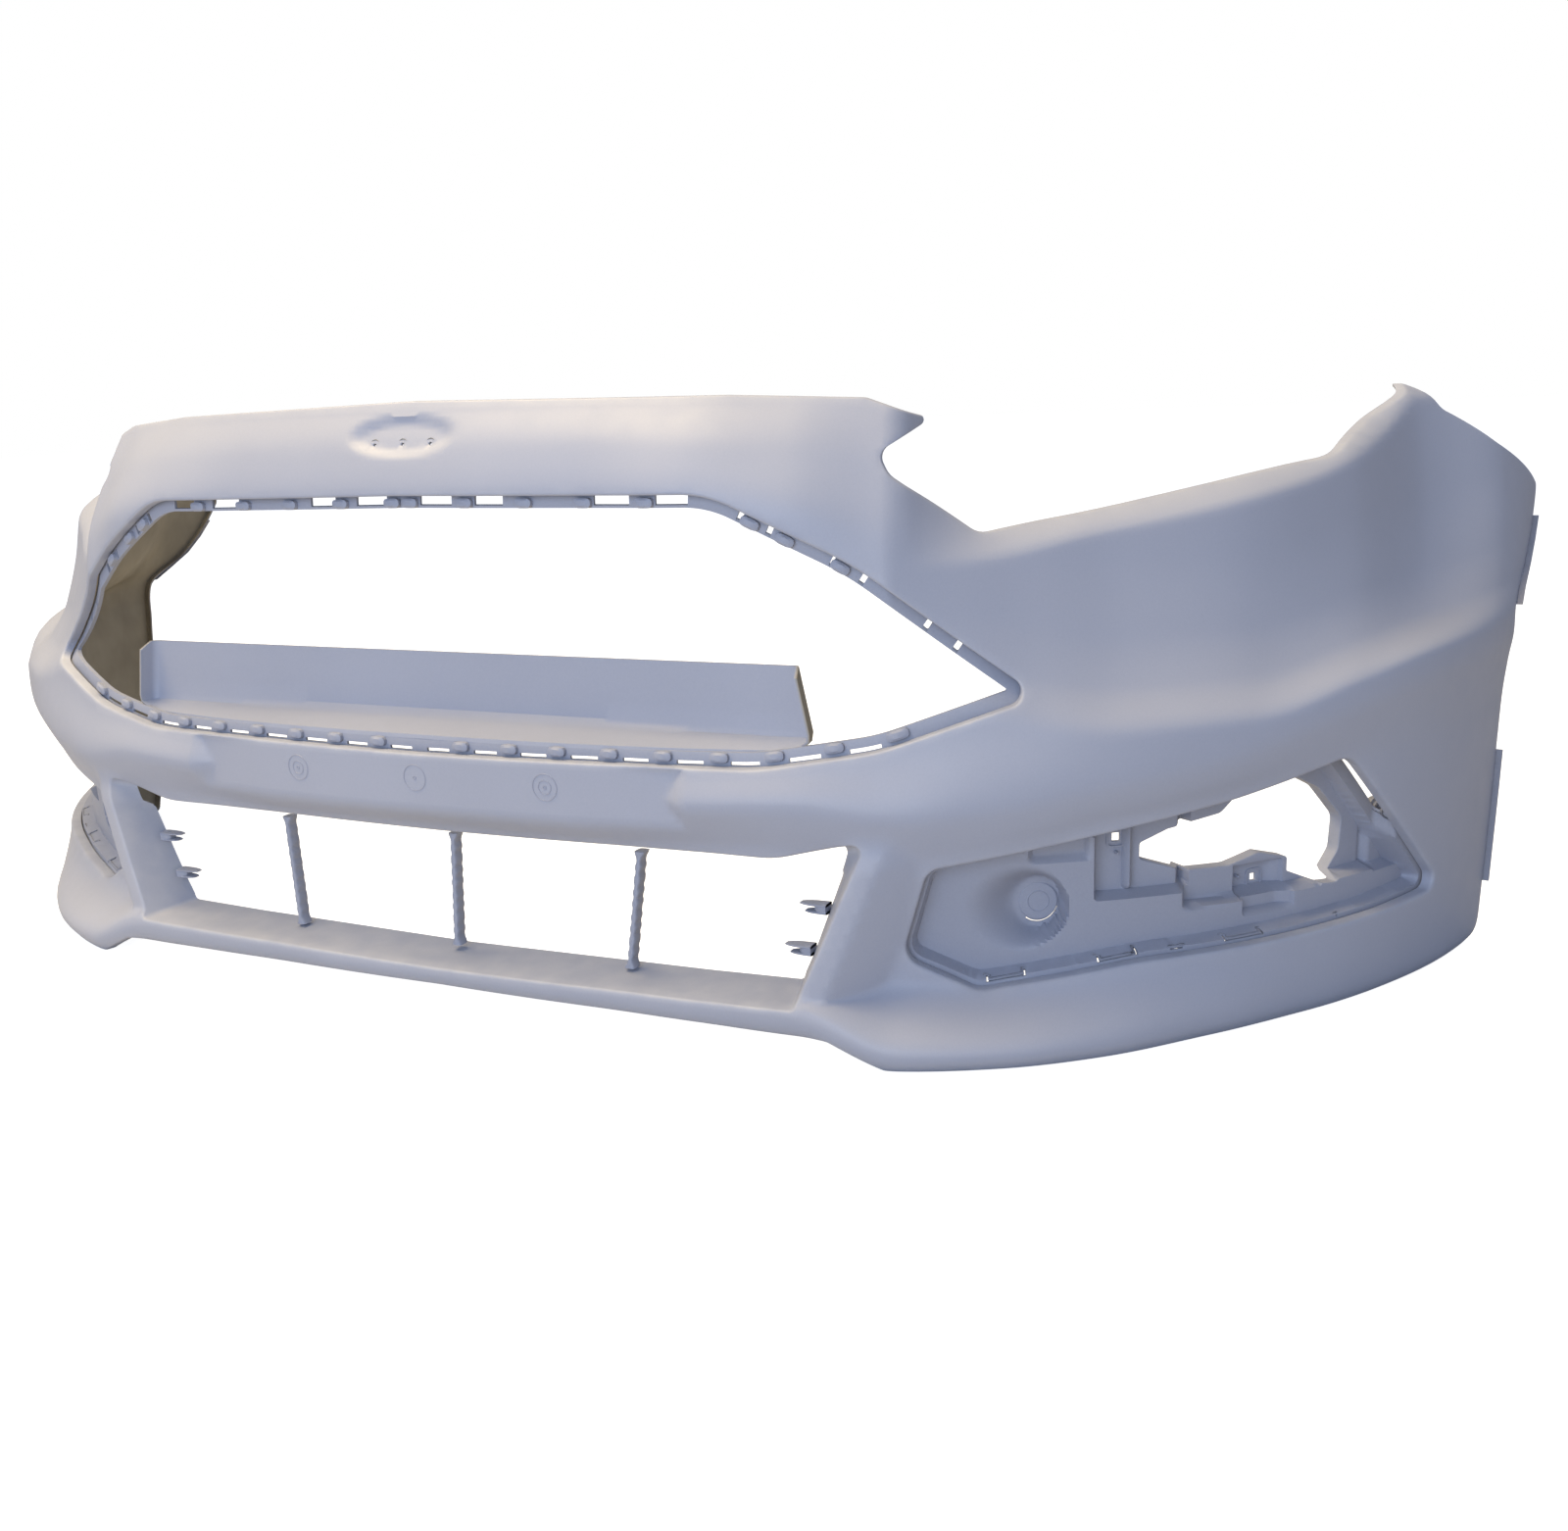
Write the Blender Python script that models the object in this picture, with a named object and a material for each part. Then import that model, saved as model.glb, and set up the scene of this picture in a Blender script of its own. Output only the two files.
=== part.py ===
"""Front bumper cover of a compact hatchback, in primer, as an assembly of separate moulded pieces.

Metres, +Z up. The front faces -Y, +X is the car's left side, and the cover stands on its two feet and
the lower edges of its wings, on z = 0. The origin is below the middle of the bounding box.

The skin is a height field: a point lies at arc length s along the plan curve, at height z, and at the
relief h(s, z) outside that curve. Every other piece is placed from the same field.
"""
import bpy
import numpy as np
from mathutils.geometry import delaunay_2d_cdt

# Driving dimensions of the plan curve, a superellipse.
HALF_WIDTH = 0.870
DEPTH = 0.660
PLAN_POWER = 2.5

# Distance of the plan curve's front point ahead of the middle of the bounding box.
FRONT_Y = -0.3331

# Sheet and gaps.
WALL = 0.0030
GAP = 0.0004
MESH_STEP = 0.030

# Depths of the flanges that turn in behind the skin's edges.
APERTURE_LIP = 0.010
FOG_LIP = 0.008
EDGE_FLANGE = 0.010
TUNNEL_BACK = 0.057
TUNNEL_TAPER = 0.958
CHIN_BACK = 0.046

# Colours of the mouldings.
PRIMER = (0.42, 0.44, 0.52)
BARE_PLASTIC = (0.36, 0.36, 0.41)

# Ring behind the upper aperture: how far it reaches under the skin and into view, and its place.
RING_OVERLAP = 0.008
RING_WIDTH = 0.009
RING_DEPTH = 0.0125
RING_THICKNESS = 0.003

# Close-out tray behind the lower edge of the aperture.
PANEL_HALF = 0.353
PANEL_FRONT = 0.041
PANEL_BACK = 0.058
PANEL_TOP = 0.320
PANEL_BOTTOM = 0.263
PANEL_SHELF_SETBACK = 0.0215
PANEL_SHELF_Z = 0.255
PANEL_WALL = 0.0025

# Fog carrier, with places in (s, z).
CARRIER_OVERLAP = 0.007
CARRIER_WALL = 0.0025
CARRIER_RIM = 0.0130
CARRIER_FACE = 0.026
BOWL_CENTRE = (0.540, 0.113)
BOWL_RADII = (0.047, 0.038)
BOWL_DEPTH = 0.026
BLANK_CENTRE = (0.5585, 0.1115)
BLANK_RADIUS = 0.0235
BOSS_CENTRE = (0.918, 0.153)
BOSS_HOLE = 0.004
BRACKET_OPENING = (
    (0.653, 0.141, 0.004), (0.653, 0.160, 0.004), (0.735, 0.1745, 0.01), (0.748, 0.189, 0.01),
    (0.818, 0.199, 0.012), (0.878, 0.158, 0.01), (0.876, 0.120, 0.02), (0.850, 0.098, 0.008),
    (0.810, 0.113, 0.004), (0.808, 0.128, 0.006), (0.775, 0.135, 0.006), (0.715, 0.123, 0.03),
)

# Struts and hooks of the lower intake, with x, y and z at the top and at the bottom of a strut.
POST_PLACES = (("right", -1), ("centre", 0), ("left", 1))
POST_HALF = (0.199, 0.187)
POST_Y = (0.050, 0.040)
POST_Z = (0.1535, 0.0485)
POST_WIDTH = 0.006
POST_CHORD = 0.013
PRONG_LEVELS = (("upper", 0.118), ("lower", 0.080))
PRONG_LENGTH = 0.025
PRONG_HEIGHT = 0.004
PRONG_Y = (0.046, 0.060)

# Strips along the wings' rear edges, from one height to another.
STRIP_SPANS = (("fender_edge_strip", 0.400, 0.300), ("arch_edge_strip", 0.180, 0.045))
STRIP_REACH = (-0.005, 0.012)
STRIP_THICKNESS = 0.0025

# Relief of the skin: for each character line, its height and its distance outside the plan curve,
# at the arc lengths below. Lines run from the lower edge up to the bonnet edge.
STATIONS = (0, 0.17, 0.27, 0.36, 0.44, 0.52, 0.60, 0.70, 0.80, 0.90, 1.00, 1.25)
LINES = (
    ((.022, .022, .022, .022, .000, .000, .000, .000, .000, .000, .000, .000),
     (-.004, .000, .009, .023, .036, .030, .016, -.006, -.017, -.019, -.016, -.008)),
    ((.027, .027, .027, .027, .006, .006, .006, .006, .006, .006, .006, .006),
     (.003, .0075, .017, .032, .0445, .0385, .0245, .0025, -.0085, -.0105, -.0075, .0005)),
    ((.040, .0415, .044, .047, .018, .016, .016, .017, .019, .021, .023, .025),
     (.004, .0085, .018, .033, .046, .040, .026, .004, -.007, -.009, -.006, .001)),
    ((.070, .070, .070, .070, .060, .056, .064, .072, .078, .080, .082, .084),
     (-.02, -.018, -.010, .000, -.004, -.008, -.010, -.012, -.012, -.010, -.006, .002)),
    ((.160, .160, .162, .165, .160, .165, .182, .196, .208, .214, .218, .222),
     (-.030, -.026, -.016, -.001, .002, -.002, -.006, -.008, -.008, -.006, -.004, .002)),
    ((.190, .190, .191, .194, .188, .194, .207, .220, .240, .256, .262, .266),
     (.000, .000, .002, .012, .014, .010, .006, .003, .001, .000, .000, .003)),
    ((.210, .2105, .2125, .216, .206, .213, .227, .240, .262, .278, .284, .289),
     (.000, .000, .0145, .020, .021, .016, .012, .008, .006, .004, .003, .005)),
    ((.238, .238, .240, .247, .258, .282, .290, .300, .310, .318, .322, .326),
     (.000, .000, .004, .006, .005, .002, .004, .004, .002, .000, .000, .004)),
    ((.330, .330, .330, .332, .335, .340, .350, .360, .370, .376, .380, .384),
     (-.004, -.004, -.003, -.003, -.002, -.002, .000, .000, -.002, -.002, -.002, .004)),
    ((.459, .459, .454, .440, .415, .405, .420, .438, .456, .480, .490, .500),
     (-.010, -.008, -.002, -.004, -.012, -.010, -.010, -.010, -.012, -.014, -.012, -.004)),
    ((.500, .500, .496, .490, .476, .470, .480, .495, .510, .525, .530, .535),
     (-.022, -.020, -.018, -.028, -.038, -.031, -.024, -.022, -.022, -.022, -.018, -.008)),
    ((.541, .539, .537, .535, .530, .530, .535, .540, .545, .550, .555, .560),
     (-.046, -.046, -.052, -.066, -.070, -.060, -.045, -.036, -.034, -.032, -.026, -.012)),
)

# How far the panels above the wings' character line lean back: at each arc length the full amount, and
# the height where the lean starts; then the share of it reached at each height above that.
LEAN_STATIONS = (.44, .50, .56, .62, .73, .83, .92, 1.05, 1.25)
LEAN_AMOUNT = (.000, .025, .045, .062, .080, .120, .185, .130, .030)
LEAN_START = (.290, .285, .270, .262, .262, .282, .295, .300, .305)
LEAN_RISE = ((-.01, 0, .04, .08, .14, .25), (0, 0, .42, .72, .92, 1.0))

# Local features of the skin.
PAD_HALF = 0.267
PAD_BAND = (0.190, 0.2125, 0.240)
PAD_RUN = 0.018
BEVEL_CREASE = ((.46, .500, .594, .699, .790, .827, .872, .907), (.400, .404, .423, .437, .453, .464, .485, .511))
BEVEL_SLOPE = ((.455, .500, .530, .570), (0.0, 0.8, 1.6, 2.5))
RIDGE_FOOT = (0.362, 0.043)
RIDGE_HEAD = (0.420, 0.184)
RIDGE_RELIEF = (0.026, 0.018)
RIDGE_FACE = 0.016
RIDGE_RUN = 0.060
EMBLEM_CENTRE_Z = 0.512
EMBLEM_RADII = (0.058, 0.0155)
EMBLEM_DEPTH = 0.007

# Outlines in (s, z, corner radius), right half or right side.
RIM = (
    (0.000, 0.541, 0), (0.300, 0.535, 0.3), (0.420, 0.528, 0.02), (0.4745, 0.509, 0.004),
    (0.432, 0.486, 0.014), (0.441, 0.469, 0.02), (0.513, 0.421, 0.02), (0.825, 0.4665, 0.06),
    (0.922, 0.519, 0.003), (0.947, 0.4975, 0.03), (1.049, 0.462, 0.3), (1.248, 0.411, 0.006),
    (1.120, 0.312, 0.06), (1.103, 0.238, 0.2), (1.0905, 0.150, 0.2), (1.066, 0.000, 0.030),
    (0.430, 0.000, 0.01), (0.385, 0.022, 0.01), (0.000, 0.022, 0),
)
APERTURE = (
    (0.000, 0.4630, 0), (0.298, 0.4605, 0.10), (0.410, 0.4045, 0.30), (0.5566, 0.2967, 0.012),
    (0.430, 0.256, 0.20), (0.330, 0.2415, 0.25), (0.000, 0.239, 0),
)
INTAKE = (
    (0.000, 0.160, 0), (0.340, 0.164, 0.1), (0.418, 0.184, 0.006), (0.3575, 0.0465, 0.006),
    (0.270, 0.044, 0.3), (0.000, 0.040, 0),
)
FOG_APERTURE = (
    (0.466, 0.157, 0.016), (0.720, 0.1985, 0.5), (0.835, 0.2215, 0.028), (0.974, 0.079, 0.010),
    (0.890, 0.0745, 0.3), (0.640, 0.068, 0.5), (0.505, 0.0515, 0.03), (0.443, 0.081, 0.018),
)


def smooth(x, knots_x, knots_y):
    """Monotone cubic through the knots; a knot array may hold one column for each value of x."""
    x = np.asarray(x, float)
    columns = [np.asarray(k, float) for k in (knots_x, knots_y)]
    kx, ky = (np.broadcast_to(k[:, None] if k.ndim == 1 else k, (len(k), len(x))) for k in columns)
    x = np.clip(x, kx[0], kx[-1])
    step = np.diff(kx, axis=0)
    slope = np.diff(ky, axis=0) / step
    before, after = slope[:-1], slope[1:]
    total = np.where(before + after == 0, 1.0, before + after)
    inner = np.where(before * after > 0, 2 * before * after / total, 0.0)
    tangent = np.concatenate([slope[:1], inner, slope[-1:]])
    span = (x >= kx[1:-1]).sum(axis=0)[None]

    def pick(values, shift=0):
        return np.take_along_axis(values, span + shift, 0)[0]

    width = pick(step)
    u = (x - pick(kx)) / width
    start = pick(ky) * (1 + 2 * u) * (1 - u) ** 2 + pick(ky, 1) * u * u * (3 - 2 * u)
    return start + width * (pick(tangent) * u * (1 - u) ** 2 - pick(tangent, 1) * u * u * (1 - u))


def ease(x, low, high):
    """Smooth step from 0 at low to 1 at high."""
    u = np.clip((x - low) / (high - low), 0, 1)
    return u * u * (3 - 2 * u)


def plan_table():
    """Arc length, position and unit tangent of the plan superellipse, densely sampled."""
    angle = np.linspace(-np.pi / 2, np.pi / 2, 8001)
    x = HALF_WIDTH * np.sign(angle) * np.abs(np.sin(angle)) ** (2 / PLAN_POWER)
    y = DEPTH * (1 - np.cos(angle) ** (2 / PLAN_POWER))
    s = np.concatenate([[0], np.cumsum(np.hypot(np.diff(x), np.diff(y)))])
    s -= s[-1] / 2
    tx, ty = np.gradient(x, s), np.gradient(y, s)
    length = np.hypot(tx, ty)
    return s, x, y, tx / length, ty / length


PLAN = plan_table()


def plan_frame(s):
    """Point of the plan curve at arc length s and the outward normal there, as (n, 3) arrays."""
    x, y, tx, ty = (np.interp(s, PLAN[0], column) for column in PLAN[1:])
    flat = np.zeros_like(x)
    return np.stack([x, y, flat], -1), np.stack([ty, -tx, flat], -1)


def relief(s, z):
    """Distance of the skin outside the plan curve at arc length s and height z."""
    a = np.abs(s)
    heights = np.stack([smooth(a, STATIONS, line[0]) for line in LINES])
    offsets = np.stack([smooth(a, STATIONS, line[1]) for line in LINES])
    h = smooth(z, heights, offsets)
    low, mid, high = PAD_BAND
    wedge = np.clip(np.minimum((z - low) / (mid - low), (high - z) / (high - mid)), 0, 1)
    pad_edge = PAD_HALF - PAD_RUN * wedge - 0.002
    on_pad = (1 - np.clip((a - pad_edge) / (PAD_HALF - pad_edge), 0, 1)) * (z > low) * (z < high)
    h = h * (1 - on_pad)
    over = np.maximum(z - smooth(a, *BEVEL_CREASE), 0) * (a > 0.45)
    h = h - over * smooth(a, *BEVEL_SLOPE)
    rise = np.clip((z - RIDGE_FOOT[1]) / (RIDGE_HEAD[1] - RIDGE_FOOT[1]), -0.2, 1.2)
    beyond = a - (RIDGE_FOOT[0] + rise * (RIDGE_HEAD[0] - RIDGE_FOOT[0]))
    crest = RIDGE_RELIEF[0] + rise * (RIDGE_RELIEF[1] - RIDGE_RELIEF[0])
    flank = crest - np.maximum(beyond - RIDGE_FACE, 0) * (crest + 0.012) / RIDGE_RUN
    window = ease(z, 0.036, 0.050) * (1 - ease(z, 0.160, 0.200)) * (a > 0.3) * (a < 0.56)
    h = np.where((window > 0) & (flank > h), h + (flank - h) * window, h)
    radius = np.hypot(s / EMBLEM_RADII[0], (z - EMBLEM_CENTRE_Z) / EMBLEM_RADII[1])
    return h - EMBLEM_DEPTH * (1 - ease(radius, 0.55, 1.0))


def lean(s, z):
    """Displacement of the leaning panels: rearwards, a little inwards and a little down."""
    a = np.abs(s)
    rise = z - smooth(a, LEAN_STATIONS, LEAN_START)
    amount = smooth(a, LEAN_STATIONS, LEAN_AMOUNT) * smooth(rise, *LEAN_RISE)
    inwards = np.clip(0.35 - 0.58 * (a - 0.45), 0, 0.35) * np.sign(s)
    down = 0.03 + 0.8 * (0.519 - z)
    return np.stack([-inwards, 0.95 + 0 * a, -down], -1) * amount[:, None]


def surface(s, z, depth=0.0, relief_z=None):
    """Points of the skin at (s, z), moved inwards by depth, with the relief read at relief_z if given."""
    base, normal = plan_frame(s)
    points = base + normal * (relief(s, z if relief_z is None else relief_z) - depth)[:, None]
    points[:, 2] = z
    return points + lean(s, z)


def round_corners(corners, closed, step):
    """Polyline through corners (x, y, radius), each corner replaced by an arc, spaced by step."""
    corners = np.asarray(corners, float)
    count = len(corners)
    path = []
    for i, (x, y, radius) in enumerate(corners):
        here = np.array([x, y])
        if radius == 0 or (not closed and i in (0, count - 1)):
            path.append(here)
            continue
        before, after = corners[i - 1][:2] - here, corners[(i + 1) % count][:2] - here
        reach_before, reach_after = np.linalg.norm(before), np.linalg.norm(after)
        before, after = before / reach_before, after / reach_after
        half = np.arccos(np.clip(before @ after, -1, 1)) / 2
        cut = min(radius / np.tan(half), 0.48 * reach_before, 0.48 * reach_after)
        radius = cut * np.tan(half)
        bisector = (before + after) / np.linalg.norm(before + after)
        centre = here + bisector * radius / np.sin(half)
        start, end = here + before * cut - centre, here + after * cut - centre
        turn = np.pi - 2 * half
        pieces = max(2, int(np.ceil(turn / np.radians(24))), int(np.ceil(radius * turn / step)))
        for t in np.linspace(0, 1, pieces + 1):
            mix = start * np.sin((1 - t) * turn) + end * np.sin(t * turn)
            path.append(centre + mix / np.sin(turn))
    path = np.array(path)
    if closed:
        path = np.vstack([path, path[:1]])
    dense = []
    for a, b in zip(path[:-1], path[1:]):
        pieces = max(1, int(round(np.linalg.norm(b - a) / step)))
        dense.extend(a + (b - a) * t / pieces for t in range(pieces))
    return np.array(dense) if closed else np.vstack([dense, path[-1:]])


def mirrored_loop(corners, step):
    """Closed loop from the right half of an outline that starts and ends on the centre line."""
    half = round_corners(corners, False, step)
    left = half[1:-1][::-1] * (-1, 1)
    return np.vstack([half, left])


def offset_loop(loop, distance):
    """Closed loop moved towards its inside by distance."""
    ahead, behind = np.roll(loop, -1, axis=0), np.roll(loop, 1, axis=0)
    tangent = ahead - behind
    tangent /= np.linalg.norm(tangent, axis=1)[:, None]
    area = np.sum(loop[:, 0] * ahead[:, 1] - loop[:, 1] * ahead[:, 0])
    inward = np.stack([-tangent[:, 1], tangent[:, 0]], -1) * np.sign(area)
    return loop + inward * distance


def inside(points, loop):
    """Even-odd test of points against a closed loop."""
    x, y = points[:, :1], points[:, 1:]
    x0, y0 = loop[:, 0], loop[:, 1]
    x1, y1 = np.roll(x0, -1), np.roll(y0, -1)
    spans = (y0 > y) != (y1 > y)
    rise = np.where(y1 == y0, 1e-12, y1 - y0)
    return ((x < x0 + (y - y0) * (x1 - x0) / rise) & spans).sum(axis=1) % 2 == 1


def clearance(points, loop):
    """Distance from each point to a closed loop."""
    a, b = loop[None], np.roll(loop, -1, axis=0)[None]
    along = b - a
    reach = np.maximum((along ** 2).sum(-1), 1e-12)
    t = np.clip(((points[:, None] - a) * along).sum(-1) / reach, 0, 1)
    return np.linalg.norm(points[:, None] - a - along * t[..., None], axis=-1).min(axis=1)


def triangulate(rim, holes, inner, creases=()):
    """Constrained triangulation between the rim and the holes: points, triangles, loops of indices."""
    loops = [rim, *holes]
    keep = inside(inner, rim)
    for hole in holes:
        keep &= ~inside(inner, hole)
    for loop in loops:
        keep &= clearance(inner, loop) > 0.3 * MESH_STEP
    for crease in creases:
        keep &= clearance(inner, crease) > 0.1 * MESH_STEP
    inner = inner[keep]
    points, members, edges = [], [], []
    for loop in loops:
        members.append(list(range(len(points), len(points) + len(loop))))
        points.extend(map(tuple, loop))
    for crease in creases:
        edges.extend((len(points) + i, len(points) + i + 1) for i in range(len(crease) - 1))
        points.extend(map(tuple, crease))
    points.extend(map(tuple, inner))
    outlines = [members[0], *(member[::-1] for member in members[1:])]
    found, _, faces, origin, _, region = delaunay_2d_cdt(points, edges, outlines, 0, 1e-7)
    found = np.array([tuple(p) for p in found])
    faces = np.array([f[:] for f, owners in zip(faces, region) if list(owners) == [0]])
    place = {source: i for i, sources in enumerate(origin) for source in sources}
    members = [np.array([place[i] for i in index]) for index in members]
    a, b, c = (found[faces[:, k]] for k in range(3))
    turned = (b[:, 0] - a[:, 0]) * (c[:, 1] - a[:, 1]) - (b[:, 1] - a[:, 1]) * (c[:, 0] - a[:, 0]) < 0
    faces[turned] = faces[turned][:, ::-1]
    used = np.unique(faces)
    renumber = np.full(len(found), -1)
    renumber[used] = np.arange(len(used))
    return found[used], renumber[faces], [renumber[index] for index in members]


def ccw(loop):
    """The loop in counter-clockwise order."""
    ahead = np.roll(loop, -1, axis=0)
    return loop if np.sum(loop[:, 0] * ahead[:, 1] - loop[:, 1] * ahead[:, 0]) > 0 else loop[::-1]


def thicken(points, faces, wall):
    """Closed shell: the sheet, its copy set back by wall along the normals, and the rims between."""
    points = np.asarray(points, float)
    faces = [tuple(int(i) for i in f) for f in faces]
    tris = np.array([t for f in faces for t in (f[:3], (f[0], f[2], f[-1])) if len(set(t)) == 3])
    cross = np.cross(points[tris[:, 1]] - points[tris[:, 0]], points[tris[:, 2]] - points[tris[:, 0]])
    normals = np.zeros_like(points)
    np.add.at(normals, tris.ravel(), np.repeat(cross, 3, axis=0))
    normals /= np.maximum(np.linalg.norm(normals, axis=1), 1e-12)[:, None]
    unit = cross / np.maximum(np.linalg.norm(cross, axis=1), 1e-12)[:, None]
    facing = np.einsum("ijk,ik->ij", normals[tris], unit)
    total, hits = np.zeros(len(points)), np.zeros(len(points))
    np.add.at(total, tris.ravel(), facing.ravel())
    np.add.at(hits, tris.ravel(), 1)
    back = points - normals * (wall / np.clip(total / hits, 0.6, 1))[:, None]
    count = len(points)
    sides = [(a, b) for f in faces for a, b in zip(f, f[1:] + f[:1])]
    known = set(sides)
    rims = [(b, a, a + count, b + count) for a, b in sides if (b, a) not in known]
    backs = [tuple(i + count for i in reversed(f)) for f in faces]
    return np.vstack([points, back]), faces + backs + rims


def flanged_shell(rim, holes, inner, place, flanges, wall, creases=()):
    """Closed shell of a trimmed sheet whose loops carry rows of flange points."""
    loops = [ccw(rim), *(ccw(hole)[::-1] for hole in holes)]
    flat, faces, members = triangulate(loops[0], loops[1:], inner, creases)
    points = [place(flat[:, 0], flat[:, 1])]
    faces = [tuple(f) for f in faces]
    total = len(flat)
    for member, flange in zip(members, flanges):
        row = member
        for extra in flange(flat[member]):
            new = np.arange(total, total + len(member))
            points.append(extra)
            faces += [(b, a, c, d) for a, b, c, d in zip(row, np.roll(row, -1), new, np.roll(new, -1))]
            total += len(member)
            row = new
    return thicken(np.vstack(points), faces, wall)


def make_material(name, colour, roughness):
    """Principled material of one piece."""
    material = bpy.data.materials.new(name)
    material.use_nodes = True
    shader = material.node_tree.nodes["Principled BSDF"]
    shader.inputs["Base Color"].default_value = (*colour, 1)
    shader.inputs["Roughness"].default_value = roughness
    shader.inputs["Metallic"].default_value = 0.0
    material.diffuse_color = (*colour, 1)
    return material


def add_piece(name, points, faces, colour=PRIMER, roughness=0.5):
    """One named object from a closed mesh, shaded smooth where it is round."""
    mesh = bpy.data.meshes.new(name)
    mesh.from_pydata([(x, y + FRONT_Y, z) for x, y, z in points], [], [tuple(int(i) for i in f) for f in faces])
    mesh.validate()
    mesh.update()
    mesh.shade_smooth()
    mesh.set_sharp_from_angle(angle=np.radians(35))
    mesh.materials.append(make_material(name + "_finish", colour, roughness))
    piece = bpy.data.objects.new(name, mesh)
    bpy.context.scene.collection.objects.link(piece)
    return piece


def mirrored(points, faces):
    """The same solid on the other side of the car."""
    return points * (-1, 1, 1), [tuple(reversed(f)) for f in faces]


def add_pair(name, points, faces, colour=PRIMER, roughness=0.5):
    """A piece on the car's left (+X) and its mirror image on the right."""
    add_piece(name + "_left", points, faces, colour, roughness)
    add_piece(name + "_right", *mirrored(points, faces), colour, roughness)


def sweep(sections, closed=False):
    """Solid from a row of equal closed sections, (n, k, 3): sides between them and end caps."""
    sections = np.asarray(sections, float)
    count, size = sections.shape[:2]
    faces = []
    for i in range(count if closed else count - 1):
        a, b = i * size, (i + 1) % count * size
        faces += [(a + k, a + (k + 1) % size, b + (k + 1) % size, b + k) for k in range(size)]
    if not closed:
        faces += [tuple(range(size))[::-1], tuple(range((count - 1) * size, count * size))]
    points = sections.reshape(-1, 3)
    corner = points[[f[0] for f in faces]]
    volume = sum(np.dot(corner[i], np.cross(points[f[1]], points[f[2]]))
                 + np.dot(corner[i], np.cross(points[f[2]], points[f[-1]])) * (len(f) > 3)
                 for i, f in enumerate(faces) if len(f) < 5)
    return points, faces if volume > 0 else [tuple(reversed(f)) for f in faces]


def box(centre, size):
    """Axis-aligned box."""
    x, y, z = np.asarray(size) / 2
    ring = np.array([(-x, -y, 0), (x, -y, 0), (x, y, 0), (-x, y, 0)])
    return sweep([ring + centre + (0, 0, -z), ring + centre + (0, 0, z)])


def grid_points(step_s, rows):
    """Inner points of the skin: columns every step_s, and rows at and between the lines."""
    columns = np.arange(-1.24, 1.2401, step_s)
    heights = np.stack([smooth(np.abs(columns), STATIONS, line[0]) for line in LINES])
    levels = np.concatenate([heights[:-1] + (heights[1:] - heights[:-1]) * t for t in rows])
    return np.stack([np.broadcast_to(columns, levels.shape).ravel(), levels.ravel()], -1)


def add_skin():
    """The painted skin, with its apertures, turned-in edges and the tunnel of the lower intake."""
    rim = mirrored_loop(RIM, MESH_STEP)
    aperture = mirrored_loop(APERTURE, MESH_STEP)
    intake = mirrored_loop(INTAKE, MESH_STEP)
    fog = round_corners(FOG_APERTURE, True, MESH_STEP)
    far_fog = fog[::-1] * (-1, 1)

    def edge_flange(flat):
        return [surface(flat[:, 0], flat[:, 1], EDGE_FLANGE)]

    def lip(depth):
        return lambda flat: [surface(flat[:, 0], flat[:, 1], depth)]

    def tunnel(flat):
        front = surface(flat[:, 0], flat[:, 1])
        chin = ease(flat[:, 1], 0.145, 0.160)
        back = front * (TUNNEL_TAPER, 0, 1)
        back[:, 1] = np.maximum(TUNNEL_BACK + (CHIN_BACK - TUNNEL_BACK) * chin, front[:, 1] + 0.010)
        back[:, 2] += 0.004 * (1 - ease(flat[:, 1], 0.045, 0.080)) - 0.004 * chin
        return [back]

    ridge = np.array([(RIDGE_FOOT[0] + 0.018, 0.050), (RIDGE_HEAD[0] + RIDGE_FACE, RIDGE_HEAD[1])])
    pad_side = np.array([(PAD_HALF, z) for z in PAD_BAND])
    creases = [ridge, ridge * (-1, 1), pad_side, pad_side * (-1, 1)]
    points, faces = flanged_shell(
        rim, [aperture, intake, fog, far_fog], grid_points(MESH_STEP, (0.0, 0.5)), surface,
        [edge_flange, lip(APERTURE_LIP), tunnel, lip(FOG_LIP), lip(FOG_LIP)], WALL, creases)
    add_piece("cover_skin", points, faces, roughness=0.45)


def ring_point(s, z, depth):
    """Points behind the edge of the upper aperture; the plate pad below it doesn't shift them."""
    return surface(s, z, depth, np.maximum(z, PAD_BAND[2] + 0.0005))


def add_grille_retainer():
    """Ring behind the edge of the upper aperture that the grille clips to."""
    loop = ccw(mirrored_loop(APERTURE, MESH_STEP))
    corners = ((-RING_OVERLAP, RING_DEPTH), (RING_WIDTH, RING_DEPTH),
               (RING_WIDTH, RING_DEPTH + RING_THICKNESS), (-RING_OVERLAP, RING_DEPTH + RING_THICKNESS))
    rows = []
    for inset, depth in corners:
        edge = offset_loop(loop, inset)
        rows.append(ring_point(edge[:, 0], edge[:, 1], depth))
    add_piece("upper_grille_retainer", *sweep(np.stack(rows, 1), closed=True))


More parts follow.
